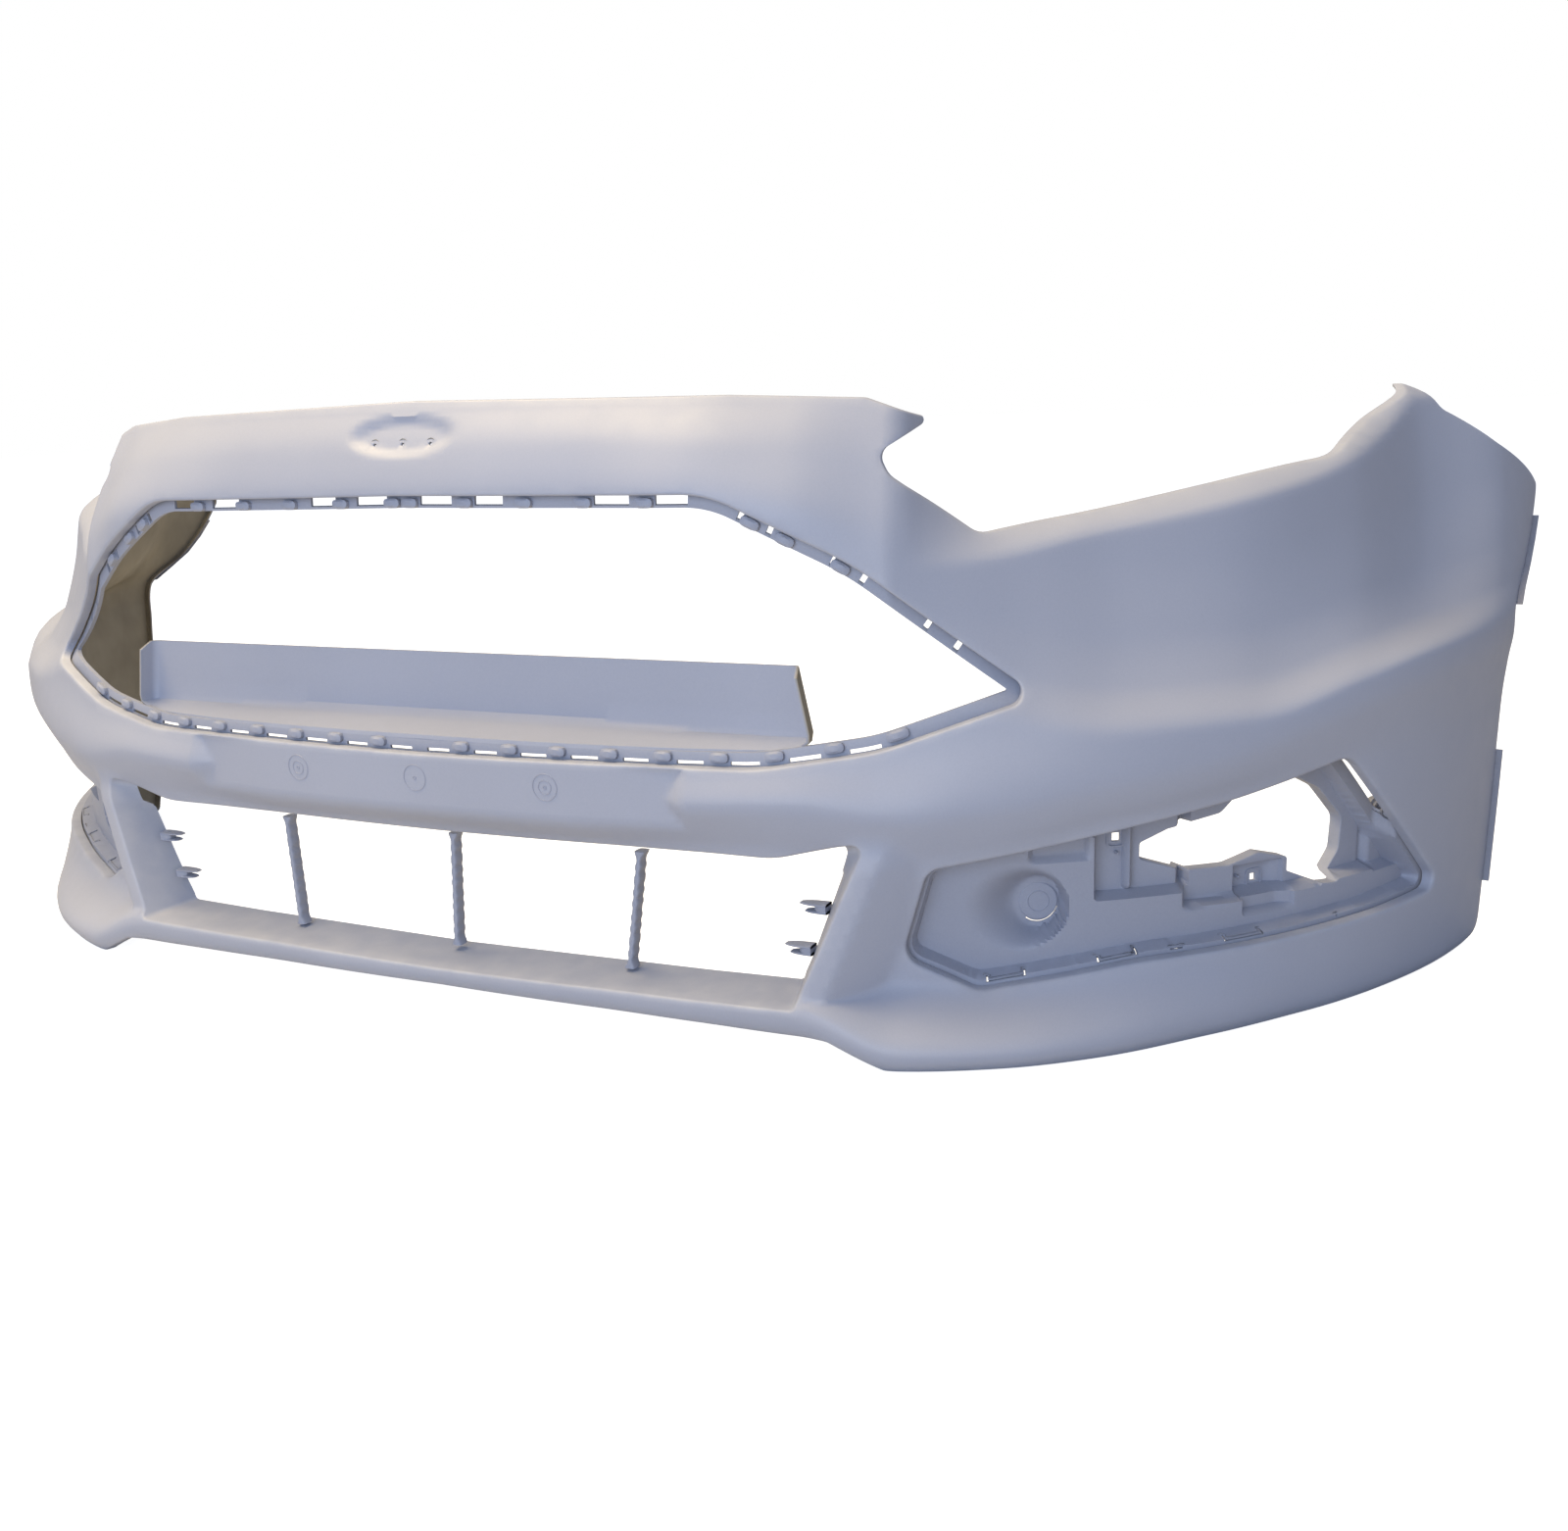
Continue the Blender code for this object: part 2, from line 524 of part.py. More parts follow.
def add_closeout_panel():
    """Tray behind the lower edge of the aperture: a low wall with short sides, and a shelf forwards."""
    half, front, back = PANEL_HALF, PANEL_FRONT, PANEL_BACK
    across = np.linspace(-half, half, 15)
    wall = np.array([(-half, front), *((x, back) for x in across), (half, front)])
    shelf_x = np.concatenate([[-half], across * (1 - 0.010 / half), [half]])
    shelf_y = np.interp(shelf_x, PLAN[1], PLAN[2]) + PANEL_SHELF_SETBACK
    shelf = np.stack([shelf_x, np.minimum(shelf_y, back - 0.006)], -1)
    levels = (PANEL_TOP, (PANEL_TOP + PANEL_BOTTOM) / 2, PANEL_BOTTOM)
    rows = [np.column_stack([wall, np.full(len(wall), z)]) for z in levels]
    rows.append(np.column_stack([shelf, np.full(len(wall), PANEL_SHELF_Z)]))
    count = len(wall)
    faces = [((r + 1) * count + i, (r + 1) * count + i + 1, r * count + i + 1, r * count + i)
             for r in range(len(rows) - 1) for i in range(count - 1)]
    add_piece("closeout_panel", *thicken(np.vstack(rows), faces, PANEL_WALL))


def carrier_depth(s, z, loop):
    """Depth of the fog carrier behind the skin: a rim, a step down, and the bowl for the lamp."""
    inward = clearance(np.stack([s, z], -1), loop) * np.where(inside(np.stack([s, z], -1), loop), 1, -1)
    depth = CARRIER_RIM + (CARRIER_FACE - CARRIER_RIM) * ease(inward, 0.003, 0.008)
    reach = np.hypot((s - BOWL_CENTRE[0]) / BOWL_RADII[0], (z - BOWL_CENTRE[1]) / BOWL_RADII[1])
    return depth + BOWL_DEPTH * (1 - ease(reach, 0.45, 1.0))


def add_fog_carriers():
    """Pocket moulding behind each fog aperture, with the lamp bowl and the bracket opening."""
    loop = ccw(round_corners(FOG_APERTURE, True, MESH_STEP * 0.8))
    rim = offset_loop(loop, -CARRIER_OVERLAP)
    around = np.linspace(0, 2 * np.pi, 16, endpoint=False)
    blank = np.stack([BLANK_CENTRE[0] + (BLANK_RADIUS + 0.0008) * np.cos(around),
                      BLANK_CENTRE[1] + (BLANK_RADIUS + 0.0008) * np.sin(around)], -1)
    opening = round_corners(BRACKET_OPENING, True, MESH_STEP)
    boss = np.stack([BOSS_CENTRE[0] + BOSS_HOLE * np.cos(around[::2]),
                     BOSS_CENTRE[1] + BOSS_HOLE * np.sin(around[::2])], -1)
    columns, levels = np.arange(0.44, 0.98, 0.020), np.arange(0.05, 0.22, 0.014)
    inner = np.stack(np.meshgrid(columns, levels), -1).reshape(-1, 2)
    creases = [np.vstack([line, line[:1]]) for line in (offset_loop(loop, 0.003), offset_loop(loop, 0.008))]

    def place(s, z):
        return surface(s, z, carrier_depth(s, z, loop))

    def turned_in(depth):
        return lambda flat: [place(flat[:, 0], flat[:, 1]) - plan_frame(flat[:, 0])[1] * depth]

    add_pair("fog_carrier", *flanged_shell(
        rim, [blank, opening, boss], inner, place,
        [turned_in(0.004), turned_in(0.003), turned_in(0.008), turned_in(0.006)], CARRIER_WALL, creases))


def disc_at(centre, depth, radius, hole, thickness, sides=24):
    """Disc, or ring where hole is above 0, whose axis is the plan normal at centre (s, z)."""
    s, z = centre
    base, normal = plan_frame(np.array([s]))
    normal = normal[0]
    middle = surface(np.array([s]), np.array([z]), depth)[0]
    across = np.array([-normal[1], normal[0], 0])
    up = np.array([0, 0, 1.0])
    angle = np.linspace(0, 2 * np.pi, sides, endpoint=False)[:, None]
    spoke = across * np.cos(angle) + up * np.sin(angle)
    if hole > 0:
        profile = ((radius, 0), (radius, -thickness), (hole, -thickness), (hole, 0))
        return sweep(np.stack([middle + spoke * r + normal * d for r, d in profile], 1), closed=True)
    return sweep([middle + spoke * radius - normal * thickness, middle + spoke * radius])


def add_fog_details():
    """The blanking disc in each lamp bowl and the screw grommet in each rear boss."""
    add_pair("fog_lamp_blank", *disc_at(BLANK_CENTRE, CARRIER_FACE + BOWL_DEPTH + 0.001,
                                        BLANK_RADIUS - 0.0035, 0, 0.002))
    add_pair("screw_grommet", *disc_at(BOSS_CENTRE, CARRIER_FACE - 0.0035, 0.0095, 0.003, 0.003),
             colour=BARE_PLASTIC)


def add_posts():
    """Three slim struts between the chin and the shelf of the lower intake."""
    section = np.array([(-1, -1), (1, -1), (1, 1), (-1, 1)]) * (POST_WIDTH / 2, POST_CHORD / 2)
    for name, side in POST_PLACES:
        rows = [np.column_stack([section + (side * x, y), np.full(4, z)])
                for x, y, z in zip(POST_HALF, POST_Y, POST_Z)]
        add_piece("intake_post_" + name, *sweep(rows))


def add_prongs():
    """Hooks on the side walls of the lower intake that the grille snaps onto."""
    (high_s, high_z), (low_s, low_z) = INTAKE[2][:2], INTAKE[3][:2]
    for level, z in PRONG_LEVELS:
        s = low_s + (high_s - low_s) * (z - low_z) / (high_z - low_z)
        wall = surface(np.array([s]), np.array([z]))[0, 0] * TUNNEL_TAPER - 2 * GAP
        centre = (wall - PRONG_LENGTH / 2, sum(PRONG_Y) / 2, z)
        size = (PRONG_LENGTH, PRONG_Y[1] - PRONG_Y[0], PRONG_HEIGHT)
        add_pair("grille_hook_" + level, *box(centre, size))


def add_edge_strips():
    """Protective strips along the fender joint and the wheel arch, just behind the skin's edge."""
    rim = round_corners(RIM, False, MESH_STEP)
    rear = rim[(rim[:, 0] > 1.0) & (rim[:, 1] < 0.409)]
    for name, high, low in STRIP_SPANS:
        s, z = rear[(rear[:, 1] < high) & (rear[:, 1] > low)].T
        s = s + GAP
        rows = [surface(s + ahead, z, depth) for ahead, depth in (
            (0, STRIP_REACH[0]), (STRIP_THICKNESS, STRIP_REACH[0]),
            (STRIP_THICKNESS, STRIP_REACH[1]), (0, STRIP_REACH[1]))]
        add_pair(name, *sweep(np.stack(rows, 1)), colour=BARE_PLASTIC)


def clear_scene():
    """Remove every object of the file that the script runs in."""
    for item in list(bpy.data.objects):
        bpy.data.objects.remove(item, do_unlink=True)


def main():
    """Build every piece."""
    clear_scene()
    add_skin()
    add_grille_retainer()
    add_closeout_panel()
    add_fog_carriers()
    add_fog_details()
    add_posts()
    add_prongs()
    add_edge_strips()


if __name__ == "__main__":
    main()
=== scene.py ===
"""Looks of the front bumper cover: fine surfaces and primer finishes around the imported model.

Metres, +Z up. The front faces -Y, +X is the car's left side, and the cover stands on z = 0. The skin is
a height field: a point lies at arc length s along the plan curve, at height z, and at the relief h(s, z)
outside that curve; above their character line the wings lean back from there. Every other piece is
placed from the same field, and the field is placed from the frame's box.
"""
from __future__ import annotations

import logging
from dataclasses import dataclass, field
from enum import Enum
from typing import Callable, Iterable, Sequence

import bpy
import numpy as np
from mathutils import Matrix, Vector
from mathutils.geometry import delaunay_2d_cdt


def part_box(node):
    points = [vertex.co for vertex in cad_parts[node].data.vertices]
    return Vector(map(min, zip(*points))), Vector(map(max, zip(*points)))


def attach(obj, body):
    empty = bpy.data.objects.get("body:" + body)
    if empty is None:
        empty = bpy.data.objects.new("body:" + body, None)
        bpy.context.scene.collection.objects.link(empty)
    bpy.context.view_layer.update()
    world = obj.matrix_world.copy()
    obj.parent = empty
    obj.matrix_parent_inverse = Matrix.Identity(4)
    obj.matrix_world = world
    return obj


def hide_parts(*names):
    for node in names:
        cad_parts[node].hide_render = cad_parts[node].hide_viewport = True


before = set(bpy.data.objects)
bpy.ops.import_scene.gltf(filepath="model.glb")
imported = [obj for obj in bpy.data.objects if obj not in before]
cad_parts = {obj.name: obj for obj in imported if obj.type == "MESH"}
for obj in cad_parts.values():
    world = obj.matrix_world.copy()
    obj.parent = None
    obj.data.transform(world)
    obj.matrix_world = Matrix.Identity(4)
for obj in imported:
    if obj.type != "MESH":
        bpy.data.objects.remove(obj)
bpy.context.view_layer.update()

Array = np.ndarray
Face = tuple[int, ...]
Place = Callable[[Array, Array, float], Array]
Rows = Sequence[tuple[float, float]]
Colour = tuple[float, float, float]

WALL = 0.0028
STEP = 0.0062
TUNNEL_TAPER = 0.958
RING_DEPTH = 0.0125
PAD_HALF = 0.267
PAD_BAND = (0.190, 0.2125, 0.240)

# Arc lengths of the stations, and for each character line its heights and its reliefs there.
STATIONS = (0, 0.17, 0.27, 0.36, 0.44, 0.52, 0.60, 0.70, 0.80, 0.90, 1.00, 1.25)
LINES = (
    ((.022, .022, .022, .022, .000, .000, .000, .000, .000, .000, .000, .000),
     (-.004, .000, .009, .023, .036, .030, .016, -.006, -.017, -.019, -.016, -.008)),
    ((.027, .027, .027, .027, .006, .006, .006, .006, .006, .006, .006, .006),
     (.003, .0075, .017, .032, .0445, .0385, .0245, .0025, -.0085, -.0105, -.0075, .0005)),
    ((.040, .0415, .044, .047, .018, .016, .016, .017, .019, .021, .023, .025),
     (.004, .0085, .018, .033, .046, .040, .026, .004, -.007, -.009, -.006, .001)),
    ((.070, .070, .070, .070, .060, .056, .064, .072, .078, .080, .082, .084),
     (-.02, -.018, -.010, .000, -.004, -.008, -.010, -.012, -.012, -.010, -.006, .002)),
    ((.160, .160, .162, .165, .160, .165, .182, .196, .208, .214, .218, .222),
     (-.030, -.026, -.016, -.001, .002, -.002, -.006, -.008, -.008, -.006, -.004, .002)),
    ((.190, .190, .191, .194, .188, .194, .207, .220, .240, .256, .262, .266),
     (.000, .000, .002, .012, .014, .010, .006, .003, .001, .000, .000, .003)),
    ((.210, .2105, .2125, .216, .206, .213, .227, .240, .262, .278, .284, .289),
     (.000, .000, .0145, .020, .021, .016, .012, .008, .006, .004, .003, .005)),
    ((.238, .238, .240, .247, .258, .282, .290, .300, .310, .318, .322, .326),
     (.000, .000, .004, .006, .005, .002, .004, .004, .002, .000, .000, .004)),
    ((.330, .330, .330, .332, .335, .340, .350, .360, .370, .376, .380, .384),
     (-.004, -.004, -.003, -.003, -.002, -.002, .000, .000, -.002, -.002, -.002, .004)),
    ((.459, .459, .454, .440, .415, .405, .420, .438, .456, .480, .490, .500),
     (-.010, -.008, -.002, -.004, -.012, -.010, -.010, -.010, -.012, -.014, -.012, -.004)),
    ((.500, .500, .496, .490, .476, .470, .480, .495, .510, .525, .530, .535),
     (-.022, -.020, -.018, -.028, -.038, -.031, -.024, -.022, -.022, -.022, -.018, -.008)),
    ((.541, .539, .537, .535, .530, .530, .535, .540, .545, .550, .555, .560),
     (-.046, -.046, -.052, -.066, -.070, -.060, -.045, -.036, -.034, -.032, -.026, -.012)),
)
BEVEL_CREASE = ((.46, .500, .594, .699, .790, .827, .872, .907),
                (.400, .404, .423, .437, .453, .464, .485, .511))
BEVEL_SLOPE = ((.455, .500, .530, .570), (0.0, 0.8, 1.6, 2.5))

# How far the panels above the wings' character line lean back: at each arc length the full amount, and
# the height where the lean starts; then the share of it reached at each height above that.
LEAN_STATIONS = (.44, .50, .56, .62, .73, .83, .92, 1.05, 1.25)
LEAN_AMOUNT = (.000, .025, .045, .062, .080, .120, .185, .130, .030)
LEAN_START = (.290, .285, .270, .262, .262, .282, .295, .300, .305)
LEAN_RISE = ((-.01, 0, .04, .08, .14, .25), (0, 0, .42, .72, .92, 1.0))

# Outlines in (s, z, corner radius), right half or right side.
RIM = (
    (0.000, 0.541, 0), (0.300, 0.535, 0.3), (0.420, 0.528, 0.02), (0.4745, 0.509, 0.004),
    (0.432, 0.486, 0.014), (0.441, 0.469, 0.02), (0.513, 0.421, 0.02), (0.825, 0.4665, 0.06),
    (0.922, 0.519, 0.003), (0.947, 0.4975, 0.03), (1.049, 0.462, 0.3), (1.248, 0.411, 0.006),
    (1.120, 0.312, 0.06), (1.103, 0.238, 0.2), (1.0905, 0.150, 0.2), (1.066, 0.000, 0.030),
    (0.430, 0.000, 0.01), (0.385, 0.022, 0.01), (0.000, 0.022, 0),
)
APERTURE = (
    (0.000, 0.4630, 0), (0.298, 0.4605, 0.10), (0.410, 0.4045, 0.30), (0.5566, 0.2967, 0.012),
    (0.430, 0.256, 0.20), (0.330, 0.2415, 0.25), (0.000, 0.239, 0),
)
INTAKE = (
    (0.000, 0.160, 0), (0.340, 0.164, 0.1), (0.418, 0.184, 0.006), (0.3575, 0.0465, 0.006),
    (0.270, 0.044, 0.3), (0.000, 0.040, 0),
)
FOG_APERTURE = (
    (0.466, 0.157, 0.016), (0.720, 0.1985, 0.5), (0.835, 0.2215, 0.028), (0.974, 0.079, 0.010),
    (0.890, 0.0745, 0.3), (0.640, 0.068, 0.5), (0.505, 0.0515, 0.03), (0.443, 0.081, 0.018),
)


class Side(Enum):
    """Side of the car that a piece of a pair is on, with its sign along X."""

    LEFT = 1
    RIGHT = -1

    @property
    def word(self) -> str:
        """Lower-case word used in piece names."""
        return self.name.lower()


# ---------------------------------------------------------------- curves and outlines


def smooth(x: Array, knots_x: Sequence, knots_y: Sequence) -> Array:
    """Monotone cubic through the knots, with harmonic-mean slopes.

    Args:
        x: places to evaluate, (n,).
        knots_x: knot places, (k,) or one column for each x, (k, n).
        knots_y: knot values, in the same form.

    Returns:
        Values at x, held constant outside the knots.
    """
    x = np.asarray(x, float)
    columns = [np.asarray(k, float) for k in (knots_x, knots_y)]
    kx, ky = (np.broadcast_to(k[:, None] if k.ndim == 1 else k, (len(k), len(x))) for k in columns)
    x = np.clip(x, kx[0], kx[-1])
    step = np.diff(kx, axis=0)
    slope = np.diff(ky, axis=0) / step
    before, after = slope[:-1], slope[1:]
    total = np.where(before + after == 0, 1.0, before + after)
    inner = np.where(before * after > 0, 2 * before * after / total, 0.0)
    tangent = np.concatenate([slope[:1], inner, slope[-1:]])
    span = (x >= kx[1:-1]).sum(axis=0)[None]

    def pick(values: Array, shift: int = 0) -> Array:
        """The values of each place's own span."""
        return np.take_along_axis(values, span + shift, 0)[0]

    width = pick(step)
    u = (x - pick(kx)) / width
    start = pick(ky) * (1 + 2 * u) * (1 - u) ** 2 + pick(ky, 1) * u * u * (3 - 2 * u)
    return start + width * (pick(tangent) * u * (1 - u) ** 2 - pick(tangent, 1) * u * u * (1 - u))


def ease(x: Array, low: float, high: float) -> Array:
    """Smooth step from 0 at low to 1 at high: 3u^2 - 2u^3.

    Args:
        x: values to map.
        low: where the step starts.
        high: where it ends.

    Returns:
        Values from 0 to 1.
    """
    u = np.clip((np.asarray(x, float) - low) / (high - low), 0, 1)
    return u * u * (3 - 2 * u)


def window(x: Array, low: float, high: float, soft: float) -> Array:
    """1 between low and high, falling to 0 over soft on both sides.

    Args:
        x: values to map.
        low: where the flat top starts.
        high: where it ends.
        soft: width of each flank.

    Returns:
        Values from 0 to 1.
    """
    return ease(x, low - soft, low) * (1 - ease(x, high, high + soft))


def rounded_path(corners: Sequence, closed: bool, step: float) -> Array:
    """Polyline through corners (x, y, radius), each corner replaced by a circular arc.

    Args:
        corners: rows of x, y and the radius of the arc there.
        closed: whether the path joins its own start.
        step: greatest spacing of the points.

    Returns:
        Points, (n, 2); a closed path doesn't repeat its first point.
    """
    table = np.asarray(corners, float)
    count = len(table)
    path: list[Array] = []
    for i, (x, y, radius) in enumerate(table):
        here = np.array([x, y])
        if radius == 0 or (not closed and i in (0, count - 1)):
            path.append(here)
            continue
        before, after = table[i - 1][:2] - here, table[(i + 1) % count][:2] - here
        reach_before, reach_after = np.linalg.norm(before), np.linalg.norm(after)
        before, after = before / reach_before, after / reach_after
        half = np.arccos(np.clip(before @ after, -1, 1)) / 2
        cut = min(radius / np.tan(half), 0.48 * reach_before, 0.48 * reach_after)
        radius = cut * np.tan(half)
        bisector = (before + after) / np.linalg.norm(before + after)
        centre = here + bisector * radius / np.sin(half)
        start, end = here + before * cut - centre, here + after * cut - centre
        turn = np.pi - 2 * half
        pieces = max(3, int(np.ceil(turn / np.radians(12))), int(np.ceil(radius * turn / step)))
        t = np.linspace(0, 1, pieces + 1)[:, None]
        path.extend(centre + (start * np.sin((1 - t) * turn) + end * np.sin(t * turn)) / np.sin(turn))
    points = np.array(path)
    if closed:
        points = np.vstack([points, points[:1]])
    dense = []
    for a, b in zip(points[:-1], points[1:]):
        pieces = max(1, int(round(np.linalg.norm(b - a) / step)))
        dense.append(a + (b - a) * (np.arange(pieces) / pieces)[:, None])
    return np.vstack(dense) if closed else np.vstack([*dense, points[-1:]])


def mirrored_loop(corners: Sequence, step: float) -> Array:
    """Closed loop from the right half of an outline that starts and ends on the centre line.

    Args:
        corners: rows of s, z and radius, from the centre line and back to it.
        step: greatest spacing of the points.

    Returns:
        Points, (n, 2).
    """
    half = rounded_path(corners, False, step)
    return np.vstack([half, half[1:-1][::-1] * (-1, 1)])


def signed_area(loop: Array) -> float:
    """Twice the signed area of a loop, positive when it runs counter-clockwise."""
    ahead = np.roll(loop, -1, axis=0)
    return float(np.sum(loop[:, 0] * ahead[:, 1] - loop[:, 1] * ahead[:, 0]))


def ccw(loop: Array) -> Array:
    """The loop in counter-clockwise order."""
    return loop if signed_area(loop) > 0 else loop[::-1]


def inward_normals(loop: Array) -> Array:
    """Unit directions towards the inside of a closed loop, from the chord of each point's neighbours."""
    tangent = np.roll(loop, -1, axis=0) - np.roll(loop, 1, axis=0)
    tangent = tangent / np.linalg.norm(tangent, axis=1)[:, None]
    return np.stack([-tangent[:, 1], tangent[:, 0]], -1) * np.sign(signed_area(loop))


def offset_loop(loop: Array, distance: float) -> Array:
    """Closed loop moved towards its inside by distance.

    Args:
        loop: closed loop.
        distance: how far, negative to the outside.

    Returns:
        The moved loop.
    """
    return loop + inward_normals(loop) * distance


def inside(points: Array, loop: Array) -> Array:
    """Even-odd test of points against a closed loop, a block of points at a time.

    Args:
        points: points to test.
        loop: closed loop.

    Returns:
        True for each point within the loop.
    """
    x0, y0 = loop[:, 0], loop[:, 1]
    x1, y1 = np.roll(x0, -1), np.roll(y0, -1)
    rise = np.where(y1 == y0, 1e-12, y1 - y0)
    blocks = []
    for block in np.array_split(points, max(1, len(points) // 4000)):
        x, y = block[:, :1], block[:, 1:]
        spans = (y0 > y) != (y1 > y)
        blocks.append(((x < x0 + (y - y0) * (x1 - x0) / rise) & spans).sum(axis=1) % 2 == 1)
    return np.concatenate(blocks)


def clearance(points: Array, loop: Array) -> Array:
    """Distance from each point to a closed loop, a block of points at a time.

    Args:
        points: points to measure.
        loop: closed loop.

    Returns:
        Distances.
    """
    a, along = loop[None], (np.roll(loop, -1, axis=0) - loop)[None]
    reach = np.maximum((along ** 2).sum(-1), 1e-12)
    blocks = []
    for block in np.array_split(points, max(1, len(points) // 2000)):
        gap = block[:, None] - a
        t = np.clip((gap * along).sum(-1) / reach, 0, 1)
        blocks.append(np.sqrt((((gap - along * t[..., None])) ** 2).sum(-1)).min(axis=1))
    return np.concatenate(blocks)


def ellipse(centre: tuple[float, float], radii: tuple[float, float], count: int = 40) -> Array:
    """Closed loop of count points on an ellipse.

    Args:
        centre: middle of the ellipse.
        radii: its two half axes.
        count: number of points.

    Returns:
        Points, (count, 2).
    """
    angle = np.linspace(0, 2 * np.pi, count, endpoint=False)
    return np.stack([centre[0] + radii[0] * np.cos(angle), centre[1] + radii[1] * np.sin(angle)], -1)


# ---------------------------------------------------------------- the skin's field


@dataclass(frozen=True)
class PlanCurve:
    """Superellipse |x/a|^n + |1 - y/b|^n = 1 that the cover bends round, seen from above."""

    half_width: float = 0.870
    depth: float = 0.660
    power: float = 2.5

    def table(self) -> tuple[Array, ...]:
        """Arc length, position and unit tangent, densely sampled and symmetric about x = 0."""
        angle = np.linspace(-np.pi / 2, np.pi / 2, 8001)
        x = self.half_width * np.sign(angle) * np.abs(np.sin(angle)) ** (2 / self.power)
        y = self.depth * (1 - np.cos(angle) ** (2 / self.power))
        s = np.concatenate([[0], np.cumsum(np.hypot(np.diff(x), np.diff(y)))])
        s -= s[-1] / 2
        tx, ty = np.gradient(x, s), np.gradient(y, s)
        length = np.hypot(tx, ty)
        return s, x, y, tx / length, ty / length


@dataclass
class SkinField:
    """The skin's relief outside the plan curve, kept on a blurred grid and read with a cubic spline.

    The raw relief is a monotone cubic over the character lines. Blurring it rounds the creases as a
    moulding's are; the plate pad and the blade beside the intake are cut in afterwards, so they stay crisp.
    """

    plan: PlanCurve = PlanCurve()
    cell: float = 0.0020
    crease_radius: float = 0.0042
    pad_run: float = 0.018
    ridge_foot: tuple[float, float] = (0.362, 0.043)
    ridge_head: tuple[float, float] = (0.420, 0.184)
    ridge_relief: tuple[float, float] = (0.026, 0.018)
    ridge_face: float = 0.016
    ridge_run: float = 0.060
    emblem_z: float = 0.512
    emblem_radii: tuple[float, float] = (0.060, 0.0165)
    emblem_depth: float = 0.0052
    shift_y: float = 0.0
    _table: tuple = ()
    _grid: Array | None = None
    _origin: tuple[float, float] = (-0.02, -0.03)

    def __post_init__(self) -> None:
        """Sample the relief and place the plan curve so that the skin fills the frame's box."""
        self._table = self.plan.table()
        self._grid = self._sample()
        low = np.array(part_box("closeout_panel")[1])[1]
        self.shift_y = low - CloseoutTray.rearmost
        logging.info("field placed at y %.4f", self.shift_y)

    def _raw(self, a: Array, z: Array) -> Array:
        """Relief from the character lines and the headlamp bevel, before any rounding.

        Args:
            a: arc lengths from the middle, one per column.
            z: heights, one per row.

        Returns:
            Relief, (columns, rows).
        """
        heights = np.stack([smooth(a, STATIONS, line[0]) for line in LINES])
        offsets = np.stack([smooth(a, STATIONS, line[1]) for line in LINES])
        shape = (len(LINES), len(a) * len(z))
        wide = np.broadcast_to(heights[:, :, None], (*heights.shape, len(z))).reshape(shape)
        high = np.broadcast_to(offsets[:, :, None], (*offsets.shape, len(z))).reshape(shape)
        h = smooth(np.tile(z, len(a)), wide, high).reshape(len(a), len(z))
        over = np.maximum(z[None] - smooth(a, *BEVEL_CREASE)[:, None], 0) * (a > 0.45)[:, None]
        return h - over * smooth(a, *BEVEL_SLOPE)[:, None]

    def _blur(self, h: Array, radius: float) -> Array:
        """Gaussian of standard deviation radius along both axes.

        Args:
            h: grid of reliefs.
            radius: how far a crease is rounded.

        Returns:
            The rounded grid.
        """
        reach = int(np.ceil(3 * radius / self.cell))
        weight = np.exp(-0.5 * (np.arange(-reach, reach + 1) * self.cell / radius) ** 2)
        weight /= weight.sum()
        for axis in (0, 1):
            pad = [(0, 0), (0, 0)]
            pad[axis] = (reach, reach)
            padded = np.pad(h, pad, mode="reflect" if axis == 0 else "edge")
            h = sum(w * np.take(padded, np.arange(k, k + h.shape[axis]), axis) for k, w in enumerate(weight))
        return h

    def _sample(self) -> Array:
        """Relief on the whole grid, a from just below 0 and z from just below 0."""
        a0, z0 = self._origin
        a = np.arange(a0, 1.31, self.cell)
        z = np.arange(z0, 0.60, self.cell)
        h = self._blur(self._raw(np.abs(a), z), self.crease_radius)
        a, z = np.abs(a)[:, None], z[None]
        low, mid, high = PAD_BAND
        wedge = np.clip(np.minimum((z - low) / (mid - low), (high - z) / (high - mid)), 0, 1)
        edge = PAD_HALF - self.pad_run * wedge - 0.002
        on_pad = (1 - np.clip((a - edge) / (PAD_HALF - edge), 0, 1)) * (z > low) * (z < high)
        h = h * (1 - on_pad)
        foot, head = self.ridge_foot, self.ridge_head
        rise = np.clip((z - foot[1]) / (head[1] - foot[1]), -0.2, 1.2)
        beyond = a - (foot[0] + rise * (head[0] - foot[0]))
        crest = self.ridge_relief[0] + rise * (self.ridge_relief[1] - self.ridge_relief[0])
        flank = crest - np.maximum(beyond - self.ridge_face, 0) * (crest + 0.012) / self.ridge_run
        zone = ease(z, 0.036, 0.050) * (1 - ease(z, 0.160, 0.200)) * ease(beyond, -0.024, -0.007) * (a < 0.56)
        h = np.where((zone > 0) & (flank > h), h + (flank - h) * zone, h)
        reach = np.hypot(a / self.emblem_radii[0], (z - self.emblem_z) / self.emblem_radii[1])
        return h - self.emblem_depth * (1 - ease(reach, 0.72, 1.0))

    def relief(self, s: Array, z: Array) -> Array:
        """Distance outside the plan curve: a uniform cubic B-spline over the grid's cells.

        Args:
            s: arc lengths.
            z: heights.

        Returns:
            Reliefs, positive outwards.
        """
        u = (np.abs(s) - self._origin[0]) / self.cell
        v = (z - self._origin[1]) / self.cell
        iu = np.clip(np.floor(u).astype(int), 1, self._grid.shape[0] - 3)
        iv = np.clip(np.floor(v).astype(int), 1, self._grid.shape[1] - 3)
        total = np.zeros(len(u))
        for i, wu in enumerate(self._weights(u - iu)):
            for j, wv in enumerate(self._weights(v - iv)):
                total += wu * wv * self._grid[iu + i - 1, iv + j - 1]
        return total

